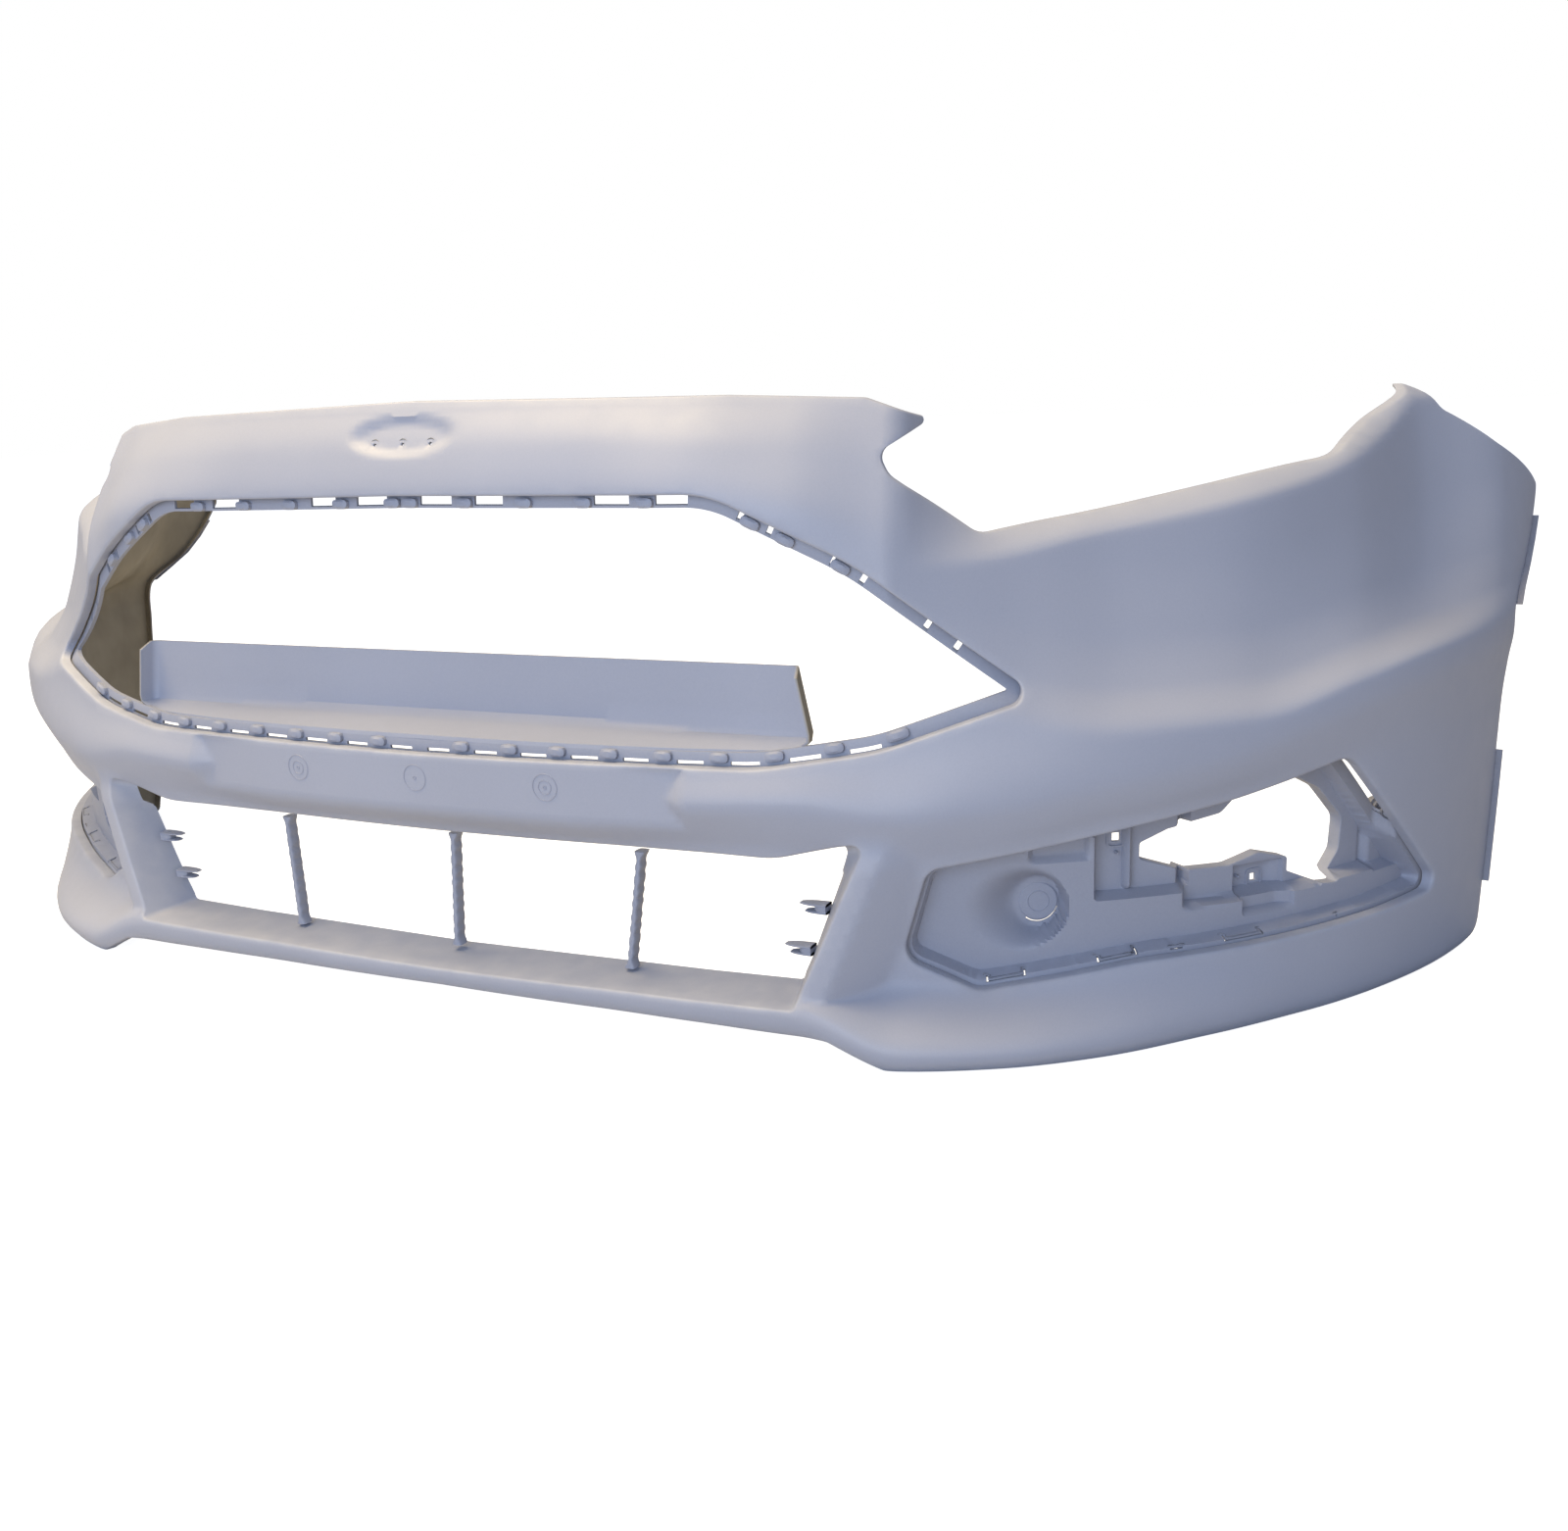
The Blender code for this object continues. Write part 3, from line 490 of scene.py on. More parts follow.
    @staticmethod
    def _weights(t: Array) -> tuple[Array, ...]:
        """The four weights of a uniform cubic B-spline at t in a cell."""
        t = np.clip(t, 0, 1)
        return ((1 - t) ** 3 / 6, (3 * t ** 3 - 6 * t ** 2 + 4) / 6,
                (-3 * t ** 3 + 3 * t ** 2 + 3 * t + 1) / 6, t ** 3 / 6)

    def base(self, s: Array) -> tuple[Array, Array]:
        """Point of the plan curve at s and the outward normal there, as (n, 3) arrays."""
        x, y, tx, ty = (np.interp(s, self._table[0], column) for column in self._table[1:])
        flat = np.zeros_like(x)
        return np.stack([x, y + self.shift_y, flat], -1), np.stack([ty, -tx, flat], -1)

    @staticmethod
    def lean(s: Array, z: Array) -> Array:
        """Displacement of the leaning panels: rearwards, a little inwards and a little down.

        The amount at each arc length is shared out over the heights above the character line by a curve that
        starts softly and levels off.

        Args:
            s: arc lengths.
            z: heights.

        Returns:
            Displacements, (n, 3).
        """
        a = np.abs(s)
        rise = z - smooth(a, LEAN_STATIONS, LEAN_START)
        amount = smooth(a, LEAN_STATIONS, LEAN_AMOUNT) * smooth(rise, *LEAN_RISE)
        inwards = np.clip(0.35 - 0.58 * (a - 0.45), 0, 0.35) * np.sign(s)
        down = 0.03 + 0.8 * (0.519 - z)
        return np.stack([-inwards, 0.95 + 0 * a, -down], -1) * amount[:, None]

    def surface(self, s: Array, z: Array, depth: Array | float = 0.0, relief_z: Array | None = None) -> Array:
        """Points of the skin at (s, z), moved inwards by depth along the plan normal.

        Args:
            s: arc lengths.
            z: heights.
            depth: distance behind the skin.
            relief_z: heights at which the relief is read instead, if given.

        Returns:
            Points, (n, 3).
        """
        point, normal = self.base(s)
        points = point + normal * (self.relief(s, z if relief_z is None else relief_z) - depth)[:, None]
        points[:, 2] = z
        return points + self.lean(s, z)

    def point(self, s: float, z: float, depth: float = 0.0) -> tuple[Array, Array, Array]:
        """One point of the skin, its plan normal, and the direction along the skin away from the centre.

        Args:
            s: arc length.
            z: height.
            depth: distance behind the skin.

        Returns:
            The point, the outward normal, and the direction along the skin.
        """
        at = np.array([s])
        normal = self.base(at)[1][0]
        return self.surface(at, np.array([z]), depth)[0], normal, np.array([-normal[1], normal[0], 0.0])


# ---------------------------------------------------------------- meshes


@dataclass
class Solid:
    """Points and faces of one or more closed bodies, with a mask of the points on their back."""

    points: Array
    faces: list[Face]
    back: Array = field(default_factory=lambda: np.zeros(0))
    edge: Array = field(default_factory=lambda: np.zeros(0))

    def mirrored(self) -> Solid:
        """The same solid on the other side of the car."""
        return Solid(self.points * (-1, 1, 1), [tuple(reversed(f)) for f in self.faces], self.back, self.edge)

    def masks(self) -> tuple[Array, Array]:
        """The back and edge masks, zeros where none was given."""
        count = len(self.points)
        return tuple(m if len(m) == count else np.zeros(count) for m in (self.back, self.edge))


def merged(solids: Iterable[Solid]) -> Solid:
    """Several solids as one mesh."""
    parts = list(solids)
    faces: list[Face] = []
    total = 0
    for part in parts:
        faces += [tuple(i + total for i in f) for f in part.faces]
        total += len(part.points)
    backs, edges = zip(*(part.masks() for part in parts))
    return Solid(np.vstack([p.points for p in parts]), faces, np.concatenate(backs), np.concatenate(edges))


def triangulate(rim: Array, holes: Sequence[Array], inner: Array, keep_off: float,
                creases: Sequence[Array] = ()) -> tuple[Array, Array, list[Array]]:
    """Constrained Delaunay triangulation between a rim and its holes.

    Args:
        rim: counter-clockwise outer loop.
        holes: clockwise inner loops.
        inner: candidate points, kept where they lie between the loops and keep_off away from them.
        keep_off: least distance of an inner point from a loop.
        creases: open polylines that edges must follow.

    Returns:
        The points, the triangles, and for each loop the indices of its points.
    """
    loops = [rim, *holes]
    keep = inside(inner, rim)
    for hole in holes:
        keep &= ~inside(inner, hole)
    inner = inner[keep]
    keep = np.ones(len(inner), bool)
    for loop in loops:
        keep &= clearance(inner, loop) > keep_off
    for crease in creases:
        keep &= clearance(inner, crease) > keep_off * 0.6
    inner = inner[keep]
    sizes = [len(loop) for loop in loops]
    starts = np.concatenate([[0], np.cumsum(sizes)])
    members = [np.arange(a, b) for a, b in zip(starts[:-1], starts[1:])]
    edges: list[tuple[int, int]] = []
    stack = [*loops]
    total = int(starts[-1])
    for crease in creases:
        edges += [(total + i, total + i + 1) for i in range(len(crease) - 1)]
        stack.append(crease)
        total += len(crease)
    cloud = np.vstack([*stack, inner])
    outlines = [members[0].tolist(), *(m[::-1].tolist() for m in members[1:])]
    found, _, faces, origin, _, region = delaunay_2d_cdt(cloud.tolist(), edges, outlines, 0, 1e-7)
    flat = np.array([tuple(p) for p in found])
    tris = np.array([f[:] for f, owners in zip(faces, region) if list(owners) == [0]])
    place = {source: i for i, sources in enumerate(origin) for source in sources}
    members = [np.array([place[int(i)] for i in member]) for member in members]
    a, b, c = (flat[tris[:, k]] for k in range(3))
    turned = (b[:, 0] - a[:, 0]) * (c[:, 1] - a[:, 1]) - (b[:, 1] - a[:, 1]) * (c[:, 0] - a[:, 0]) < 0
    tris[turned] = tris[turned][:, ::-1]
    used = np.unique(np.concatenate([tris.ravel(), *members]))
    renumber = np.full(len(flat), -1)
    renumber[used] = np.arange(len(used))
    return flat[used], renumber[tris], [renumber[member] for member in members]


def thicken(points: Array, faces: Sequence[Face], wall: float, edge: Array | None = None) -> Solid:
    """Closed shell: the sheet, its copy set back by wall along the normals, and the rims between.

    The normal of a point is the mean of its triangles' normals weighted by area, and the set-back is
    divided by how squarely those triangles face it, so that a bend keeps its wall.

    Args:
        points: the sheet's points.
        faces: its faces, triangles or quads, facing outwards.
        wall: thickness.
        edge: mask of the points that count as edge.

    Returns:
        The shell.
    """
    sheet = np.asarray(points, float)
    faces = [tuple(int(i) for i in f) for f in faces]
    tris = np.array([t for f in faces for t in (f[:3], (f[0], f[2], f[-1])) if len(set(t)) == 3])
    cross = np.cross(sheet[tris[:, 1]] - sheet[tris[:, 0]], sheet[tris[:, 2]] - sheet[tris[:, 0]])
    normals = np.zeros_like(sheet)
    np.add.at(normals, tris.ravel(), np.repeat(cross, 3, axis=0))
    normals /= np.maximum(np.linalg.norm(normals, axis=1), 1e-14)[:, None]
    unit = cross / np.maximum(np.linalg.norm(cross, axis=1), 1e-14)[:, None]
    facing = np.einsum("ijk,ik->ij", normals[tris], unit)
    total, hits = np.zeros(len(sheet)), np.zeros(len(sheet))
    np.add.at(total, tris.ravel(), facing.ravel())
    np.add.at(hits, tris.ravel(), 1)
    rear = sheet - normals * (wall / np.clip(total / np.maximum(hits, 1), 0.7, 1))[:, None]
    count = len(sheet)
    sides = [(a, b) for f in faces for a, b in zip(f, f[1:] + f[:1])]
    known = set(sides)
    rims = [(b, a, a + count, b + count) for a, b in sides if (b, a) not in known]
    rears = [tuple(i + count for i in reversed(f)) for f in faces]
    mask = np.zeros(count) if edge is None else edge
    back = np.concatenate([np.zeros(count), np.ones(count)])
    return Solid(np.vstack([sheet, rear]), faces + rears + rims, back, np.concatenate([mask, mask * 0]))


def sweep(sections: Array, closed: bool = False) -> Solid:
    """Solid from a row of equal closed sections, (n, k, 3): sides between them, and end caps.

    Args:
        sections: rows of section points.
        closed: whether the last row joins the first.

    Returns:
        The solid, facing outwards.
    """
    rows = np.asarray(sections, float)
    count, size = rows.shape[:2]
    spans = count if closed else count - 1
    i, k = np.meshgrid(np.arange(spans), np.arange(size), indexing="ij")
    a, b, after = i * size, (i + 1) % count * size, (k + 1) % size
    sides = np.stack([a + k, a + after, b + after, b + k], -1).reshape(-1, 4)
    points = rows.reshape(-1, 3)
    middle = points.mean(0)
    corner = points[sides] - middle
    volume = np.einsum("ij,ij->", corner[:, 0], np.cross(corner[:, 1], corner[:, 2]))
    volume += np.einsum("ij,ij->", corner[:, 0], np.cross(corner[:, 2], corner[:, 3]))
    faces = [tuple(f) for f in sides.tolist()]
    if not closed:
        faces += [tuple(range(size))[::-1], tuple(range((count - 1) * size, count * size))]
    return Solid(points, faces if volume > 0 else [tuple(reversed(f)) for f in faces])


def flanged_shell(rim: Array, holes: Sequence[Array], inner: Array, place: Place,
                  flanges: Sequence[Callable[[Array, Array], list[Array]]], wall: float,
                  creases: Sequence[Array] = (), keep_off: float = STEP * 0.45) -> Solid:
    """Closed shell of a trimmed sheet whose loops carry rows of flange points.

    Args:
        rim: outer loop in the sheet's own two parameters.
        holes: inner loops.
        inner: candidate inner points.
        place: maps the two parameters and a depth to points in space.
        flanges: for each loop, a function from its points and its directions into the opening to rows.
        wall: thickness.
        creases: open polylines that edges must follow.
        keep_off: least distance of an inner point from a loop.

    Returns:
        The shell, with its flange rows marked as edge.
    """
    loops = [ccw(rim), *(ccw(hole)[::-1] for hole in holes)]
    flat, tris, members = triangulate(loops[0], loops[1:], inner, keep_off, creases)
    points = [place(flat[:, 0], flat[:, 1], 0.0)]
    faces: list[Face] = [tuple(f) for f in tris.tolist()]
    marks = [np.zeros(len(flat))]
    total = len(flat)
    for number, (member, flange) in enumerate(zip(members, flanges)):
        loop = flat[member]
        away = inward_normals(loop) * (-1 if number == 0 else 1)
        marks[0][member] = 0.5
        row = member
        for extra in flange(loop, away):
            new = np.arange(total, total + len(member))
            points.append(extra)
            marks.append(np.ones(len(member)))
            quads = np.stack([np.roll(row, -1), row, new, np.roll(new, -1)], -1)
            faces += [tuple(q) for q in quads.tolist()]
            total += len(member)
            row = new
    return thicken(np.vstack(points), faces, wall, np.concatenate(marks))


def rolled_edge(place: Place, radius: float, depth: float, turns: int = 3) -> Callable:
    """Flange that rolls over a quarter circle and then runs straight back to depth.

    Args:
        place: maps the two parameters and a depth to points in space.
        radius: of the roll.
        depth: how far behind the skin the flange ends.
        turns: faces round the roll.

    Returns:
        A function from a loop and its directions into the opening to rows of points.
    """
    angles = np.linspace(0, np.pi / 2, turns + 1)[1:]

    def rows(loop: Array, away: Array) -> list[Array]:
        """Rows of the roll, then the straight row."""
        out = []
        for angle in angles:
            moved = loop + away * radius * np.sin(angle)
            out.append(place(moved[:, 0], moved[:, 1], radius * (1 - np.cos(angle))))
        moved = loop + away * radius
        out.append(place(moved[:, 0], moved[:, 1], depth))
        return out

    return rows


def ring_grid(section: Array, centre: Array, axis: Array, count: int = 40) -> Solid:
    """Turned piece: the closed section (radius, height) carried round axis at centre.

    Args:
        section: rows of radius and height.
        centre: middle of the ring.
        axis: its axis.
        count: number of sections round it.

    Returns:
        The solid.
    """
    axis = axis / np.linalg.norm(axis)
    side = np.cross(axis, (0, 0, 1.0))
    side /= np.linalg.norm(side)
    up = np.cross(side, axis)
    angle = np.linspace(0, 2 * np.pi, count, endpoint=False)[:, None, None]
    spoke = side * np.cos(angle) + up * np.sin(angle)
    rows = centre + spoke * section[None, :, :1] + axis * section[None, :, 1:]
    return sweep(rows, closed=True)


def pillow(size: tuple[float, float, float], power: float = 4.0, rings: int = 5, sides: int = 16) -> Solid:
    """Soft-edged block: the superellipsoid |x/a|^p + |y/b|^p + |z/c|^p = 1 on a latitude grid.

    Args:
        size: full width, depth and height.
        power: how square the block is.
        rings: latitudes between the ends.
        sides: points round each latitude.

    Returns:
        The solid, about the origin.
    """
    lat = np.linspace(-np.pi / 2, np.pi / 2, rings + 2)[1:-1][:, None]
    lon = np.linspace(0, 2 * np.pi, sides, endpoint=False)[None]
    ray = np.stack([np.cos(lat) * np.cos(lon), np.cos(lat) * np.sin(lon), np.sin(lat) + 0 * lon], -1)
    ray /= (np.abs(ray) ** power).sum(-1, keepdims=True) ** (1 / power)
    return sweep(ray * np.asarray(size) / 2)


# ---------------------------------------------------------------- materials


class Wire:
    """An output socket, with arithmetic that adds Math nodes."""

    def __init__(self, graph: Graph, socket: bpy.types.NodeSocket) -> None:
        """Wrap a socket of a graph."""
        self.graph = graph
        self.socket = socket

    def _math(self, operation: str, first: Wire | float, second: Wire | float) -> Wire:
        """Math node of two values."""
        return self.graph.node("ShaderNodeMath", {"operation": operation}, {0: first, 1: second})

    def __add__(self, other: Wire | float) -> Wire:
        """Sum."""
        return self._math("ADD", self, other)

    __radd__ = __add__

    def __sub__(self, other: Wire | float) -> Wire:
        """Difference."""
        return self._math("SUBTRACT", self, other)

    def __rsub__(self, other: float) -> Wire:
        """Difference from a number."""
        return self._math("SUBTRACT", other, self)

    def __mul__(self, other: Wire | float) -> Wire:
        """Product."""
        return self._math("MULTIPLY", self, other)

    __rmul__ = __mul__


class Graph:
    """Node tree of a material, or of the world."""

    def __init__(self, owner: bpy.types.Material | bpy.types.World) -> None:
        """Open the owner's tree at its shader: Principled in a material, Background in a world."""
        owner.use_nodes = True
        self.tree = owner.node_tree
        kinds = ("BSDF_PRINCIPLED", "BACKGROUND")
        self.shader = next(node for node in self.tree.nodes if node.type in kinds)

    def node(self, kind: str, settings: dict | None = None, sockets: dict | None = None,
             out: int | str = 0) -> Wire:
        """Add a node.

        Args:
            kind: the node's type.
            settings: its properties; a ramp's stops go under "stops".
            sockets: values or wires of its inputs, by name or number.
            out: the output to return.

        Returns:
            The chosen output.
        """
        node = self.tree.nodes.new(kind)
        for key, value in (settings or {}).items():
            if key == "stops":
                ramp = node.color_ramp.elements
                while len(ramp) < len(value):
                    ramp.new(0.5)
                for stop, (place, colour) in zip(ramp, value):
                    stop.position = place
                    stop.color = (*colour, 1)
            else:
                setattr(node, key, value)
        for key, value in (sockets or {}).items():
            self.feed(node.inputs[key], value)
        return Wire(self, node.outputs[out])

    def feed(self, socket: bpy.types.NodeSocket, value: Wire | float | tuple) -> None:
        """Set a socket to a value, or link a wire to it."""
        if isinstance(value, Wire):
            self.tree.links.new(value.socket, socket)
        elif isinstance(value, tuple) and len(value) == 3 and socket.type == "RGBA":
            socket.default_value = (*value, 1)
        else:
            socket.default_value = value

    def noise(self, scale: float, detail: float = 2.0, roughness: float = 0.5) -> Wire:
        """Noise in object coordinates, about 0 to 1.

        Args:
            scale: cells per metre.
            detail: octaves.
            roughness: weight of the finer octaves.

        Returns:
            The noise's value.
        """
        place = self.node("ShaderNodeTexCoord", out="Object")
        return self.node("ShaderNodeTexNoise", {}, {"Vector": place, "Scale": scale, "Detail": detail,
                                                   "Roughness": roughness})

    def attribute(self, name: str) -> Wire:
        """Point attribute of the mesh."""
        return self.node("ShaderNodeAttribute", {"attribute_name": name}, out="Fac")

    def mix(self, factor: Wire | float, first: Wire | Colour, second: Wire | Colour) -> Wire:
        """Colour between first and second.

        Args:
            factor: share of the second colour.
            first: colour or wire.
            second: colour or wire.

        Returns:
            The mixed colour.
        """
        return self.node("ShaderNodeMix", {"data_type": "RGBA"}, {0: factor, 6: first, 7: second}, out=2)

    def spread(self, value: Wire, low: float, high: float) -> Wire:
        """Map low..high to 0..1, clamped.

        Args:
            value: the wire to map.
            low: value that becomes 0.
            high: value that becomes 1.

        Returns:
            The mapped value.
        """
        return self.node("ShaderNodeMapRange", {}, {"Value": value, "From Min": low, "From Max": high})


@dataclass(frozen=True)
class PrimerFinish:
    """Matt primer with dust speckle, a painted highlight on the rolled lips and a bare inner side."""

    name: str
    colour: Colour = (0.364, 0.383, 0.460)
    drift: Colour = (0.340, 0.358, 0.432)
    # Colour of the painted highlight on the rolled lips and flanges.
    edge: Colour = (0.47, 0.48, 0.52)
    inner: Colour = (0.330, 0.290, 0.215)
    roughness: float = 0.46
    speckle: float = 0.05
    specular: float = 0.42

    def material(self) -> bpy.types.Material:
        """Build the node tree."""
        material = bpy.data.materials.new(self.name)
        graph = Graph(material)
        cloud = graph.spread(graph.noise(3.5, 3.0), 0.35, 0.65)
        grain = graph.noise(620.0, 1.0)
        dust = graph.spread(graph.noise(260.0, 3.0, 0.7), 0.62, 0.78)
        paint = graph.mix(cloud, self.colour, self.drift)
        paint = graph.mix(graph.spread(grain, 0.25, 0.75) * self.speckle * 2, paint, (0.52, 0.53, 0.58))
        paint = graph.mix(dust * 0.10, paint, (0.21, 0.22, 0.26))
        # Painted highlight: points marked as edge, on the rolled lips and flanges, are lightened towards the
        # edge colour in noisy patches.
        lip_highlight = graph.attribute("edge") * graph.spread(graph.noise(40.0, 4.0), 0.35, 0.75)
        paint = graph.mix(lip_highlight * 0.55, paint, self.edge)
        bare = graph.mix(graph.spread(graph.noise(18.0, 4.0), 0.3, 0.7), self.inner,
                         tuple(v * 0.72 for v in self.inner))
        back = graph.attribute("inside")
        graph.feed(graph.shader.inputs["Base Color"], graph.mix(back, paint, bare))
        rough = graph.spread(graph.noise(55.0, 3.0), 0.2, 0.8) * 0.12 + (self.roughness - 0.05)
        graph.feed(graph.shader.inputs["Roughness"], rough + back * 0.12)
        graph.shader.inputs["Specular IOR Level"].default_value = self.specular
        height = grain * 0.4 + graph.noise(1400.0, 1.0) * 0.3 + graph.noise(9.0, 2.0) * 0.9
        bump = graph.node("ShaderNodeBump", {}, {"Strength": 0.10, "Distance": 0.0006, "Height": height})
        graph.feed(graph.shader.inputs["Normal"], bump)
        return material


# ---------------------------------------------------------------- pieces


@dataclass
class Workshop:
    """Makes pieces from solids, gives them their finish and ties them to the frame."""

    finishes: dict[str, bpy.types.Material] = field(default_factory=dict)

    def finish(self, finish: PrimerFinish) -> bpy.types.Material:
        """The material of a finish, built once."""
        if finish.name not in self.finishes:
            self.finishes[finish.name] = finish.material()
        return self.finishes[finish.name]

    def piece(self, name: str, solid: Solid, finish: PrimerFinish, stands_for: Sequence[str] = (),
              sharp: float = 32.0, slot: str = "cover_skin") -> bpy.types.Object:
        """One object from a solid.

        Args:
            name: the piece's name.
            solid: its points, faces and masks.
            finish: what it is painted with.
            stands_for: CAD nodes that it replaces.
            sharp: angle in degrees above which an edge isn't smoothed.
            slot: not used.

        Returns:
            The object.
        """
        mesh = bpy.data.meshes.new(name)
        mesh.from_pydata(solid.points.tolist(), [], solid.faces)
        for key, values in zip(("inside", "edge"), solid.masks()):
            layer = mesh.attributes.new(key, "FLOAT", "POINT")
            layer.data.foreach_set("value", np.ascontiguousarray(values, np.float32))
        mesh.validate()
        mesh.update()
        mesh.shade_smooth()
        mesh.set_sharp_from_angle(angle=np.radians(sharp))
        mesh.materials.append(self.finish(finish))
        thing = bpy.data.objects.new(name, mesh)
        bpy.context.scene.collection.objects.link(thing)
        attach(thing, "root")
        if stands_for:
            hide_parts(*stands_for)
        stands_for[0] if stands_for else slot
        logging.info("%s: %d faces", name, len(solid.faces))
        return thing

    def pair(self, name: str, solid: Solid, finish: PrimerFinish, replaces: bool, sharp: float = 32.0,
             slot: str = "cover_skin") -> None:
        """A piece on each side of the car.

        Args:
            name: the pieces' name without their side.
            solid: the left one.
            finish: what they are painted with.
            replaces: whether they stand for CAD nodes of that name.
            sharp: angle in degrees above which an edge isn't smoothed.
            slot: passed on to piece where they don't.
        """
        for side in Side:
            body = solid if side is Side.LEFT else solid.mirrored()
            node = f"{name}_{side.word}"
            if replaces:
                self.piece(node + "_body", body, finish, (node,), sharp)
            else:
                self.piece(node, body, finish, (), sharp, slot)


PRIMER = PrimerFinish("primer")
# Darker copy of the primer: painted shade for the mouldings set back in the openings and for the rings on the
# plate pad.
SHADED_PRIMER = PrimerFinish("primer_on_inner_mouldings", (0.325, 0.342, 0.415), (0.300, 0.317, 0.388),
                             (0.42, 0.43, 0.48), (0.24, 0.25, 0.29), 0.50)
BARE = PrimerFinish("bare_moulding", (0.30, 0.30, 0.34), (0.26, 0.26, 0.30), (0.42, 0.42, 0.45),
                    (0.30, 0.30, 0.33), 0.55)


@dataclass
class Skin:
    """The painted skin: trimmed height field with rolled lips, turned-in rim and the intake's tunnel."""

    shape: SkinField
    lip_radius: float = 0.0028
    aperture_lip: float = 0.010
    fog_lip: float = 0.0108
    rim_radius: float = 0.0014
    rim_flange: float = 0.010
    tunnel_back: float = 0.057
    chin_back: float = 0.046
    emblem_holes: tuple = (-0.030, 0.000, 0.030)
    emblem_hole_z: float = 0.5055

    def inner_points(self) -> Array:
        """Columns every STEP, and rows that follow the character lines between them."""
        columns = np.arange(-1.245, 1.2451, STEP)
        heights = np.stack([smooth(np.abs(columns), STATIONS, line[0]) for line in LINES])
        gaps = np.diff(heights, axis=0)
        rows = []
        for low, gap in zip(heights[:-1], gaps):
            pieces = max(1, int(round(gap.max() / STEP)))
            if pieces == 1 and np.median(gap) < STEP * 0.4:
                rows.append(low)
                continue
            rows.extend(low + gap * k / pieces for k in range(pieces))
        levels = np.stack(rows)
        return np.stack([np.broadcast_to(columns, levels.shape).ravel(), levels.ravel()], -1)

    def tunnel(self, loop: Array, away: Array) -> list[Array]:
        """Rows of the intake's walls: a roll at the lip, straight back, and a soft turn at the end.

        Args:
            loop: the intake's edge.
            away: directions into the opening.

        Returns:
            Rows of points from the lip to the back.
        """
        rows = rolled_edge(self.shape.surface, self.lip_radius, 0.006)(loop, away)[:-1]
        front = rows[-1]
        chin = ease(loop[:, 1], 0.145, 0.160)
        back = front * (TUNNEL_TAPER, 0, 1)
        deep = self.shape.shift_y + self.tunnel_back + (self.chin_back - self.tunnel_back) * chin
        back[:, 1] = np.maximum(deep, front[:, 1] + 0.010)
        back[:, 2] += 0.004 * (1 - ease(loop[:, 1], 0.045, 0.080)) - 0.004 * chin
        rows.extend(front + (back - front) * t for t in (0.2, 0.4, 0.6, 0.8, 0.96, 1.0))
        return rows

    def build(self, shop: Workshop, finish: PrimerFinish) -> None:
        """Make the skin."""
        step = STEP * 0.8
        place = self.shape.surface
        rim = mirrored_loop(RIM, step)
        aperture = offset_loop(mirrored_loop(APERTURE, step), -self.lip_radius)
        intake = offset_loop(mirrored_loop(INTAKE, step), -self.lip_radius)
        fog = offset_loop(rounded_path(FOG_APERTURE, True, step), -self.lip_radius)
        far_fog = fog[::-1] * (-1, 1)
        holes = [ellipse((s, self.emblem_hole_z), (0.0021, 0.0017), 12) for s in self.emblem_holes]
        rim = offset_loop(rim, self.rim_radius)
        lip = rolled_edge(place, self.lip_radius, self.aperture_lip)
        fog_lip = rolled_edge(place, self.lip_radius, self.fog_lip)
        turned = rolled_edge(place, self.rim_radius, self.rim_flange, 2)
        small = rolled_edge(place, 0.0004, 0.0026, 1)
        foot, head = self.shape.ridge_foot, self.shape.ridge_head
        ridge = np.array([(foot[0] + 0.018, 0.050), (head[0] + self.shape.ridge_face, head[1])])
        ridge = ridge[0] + (ridge[1] - ridge[0]) * np.linspace(0, 1, 24)[:, None]
        low, mid, high = PAD_BAND
        z = np.linspace(low, high, 17)
        wedge = np.minimum((z - low) / (mid - low), (high - z) / (high - mid))
        pad_edges = [np.stack([PAD_HALF - self.shape.pad_run * wedge - 0.002 * k, z], -1) for k in (0, 1)]
        pad_edges[0][:, 0] = PAD_HALF + 0.0002
        folds = [ridge, *pad_edges]
        solid = flanged_shell(rim, [aperture, intake, fog, far_fog, *holes], self.inner_points(), place,
                              [turned, lip, self.tunnel, fog_lip, fog_lip, small, small, small], WALL,
                              [*folds, *(fold * (-1, 1) for fold in folds)])
        solid.points[:, 2] = np.maximum(solid.points[:, 2], 0.0)
        shop.piece("cover_skin_body", solid, finish, ("cover_skin",), 50.0)


@dataclass
class PadMarks:
    """Moulded rings on the plate pad that mark where to drill."""

    shape: SkinField
    places: tuple = (-0.136, 0.0, 0.136)
    height: float = 0.2175
    radius: float = 0.0118
    line: float = 0.0008

    def ring(self, s: float, radius: float) -> Solid:
        """Thin ring that stands a hair proud of the pad.

        Args:
            s: arc length of its middle.
            radius: its radius.

        Returns:
            The ring.
        """
        centre, normal, _ = self.shape.point(s, self.height)
        wide, proud = self.line, 0.00045
        section = np.array([(radius - wide, -0.0005), (radius + wide, -0.0005), (radius + wide * 0.4, proud),
                            (radius - wide * 0.4, proud)])
        return ring_grid(section, centre, normal, 48)

    def build(self, shop: Workshop, finish: PrimerFinish) -> None:
        """Make the three marks as one piece."""
        rings = [self.ring(s, self.radius) for s in self.places]
        rings += [self.ring(s, self.radius * 0.52) for s in self.places if s]
        rings += [self.ring(s, self.radius * 0.12) for s in self.places]
        shop.piece("plate_pad_marks", merged(rings), finish)


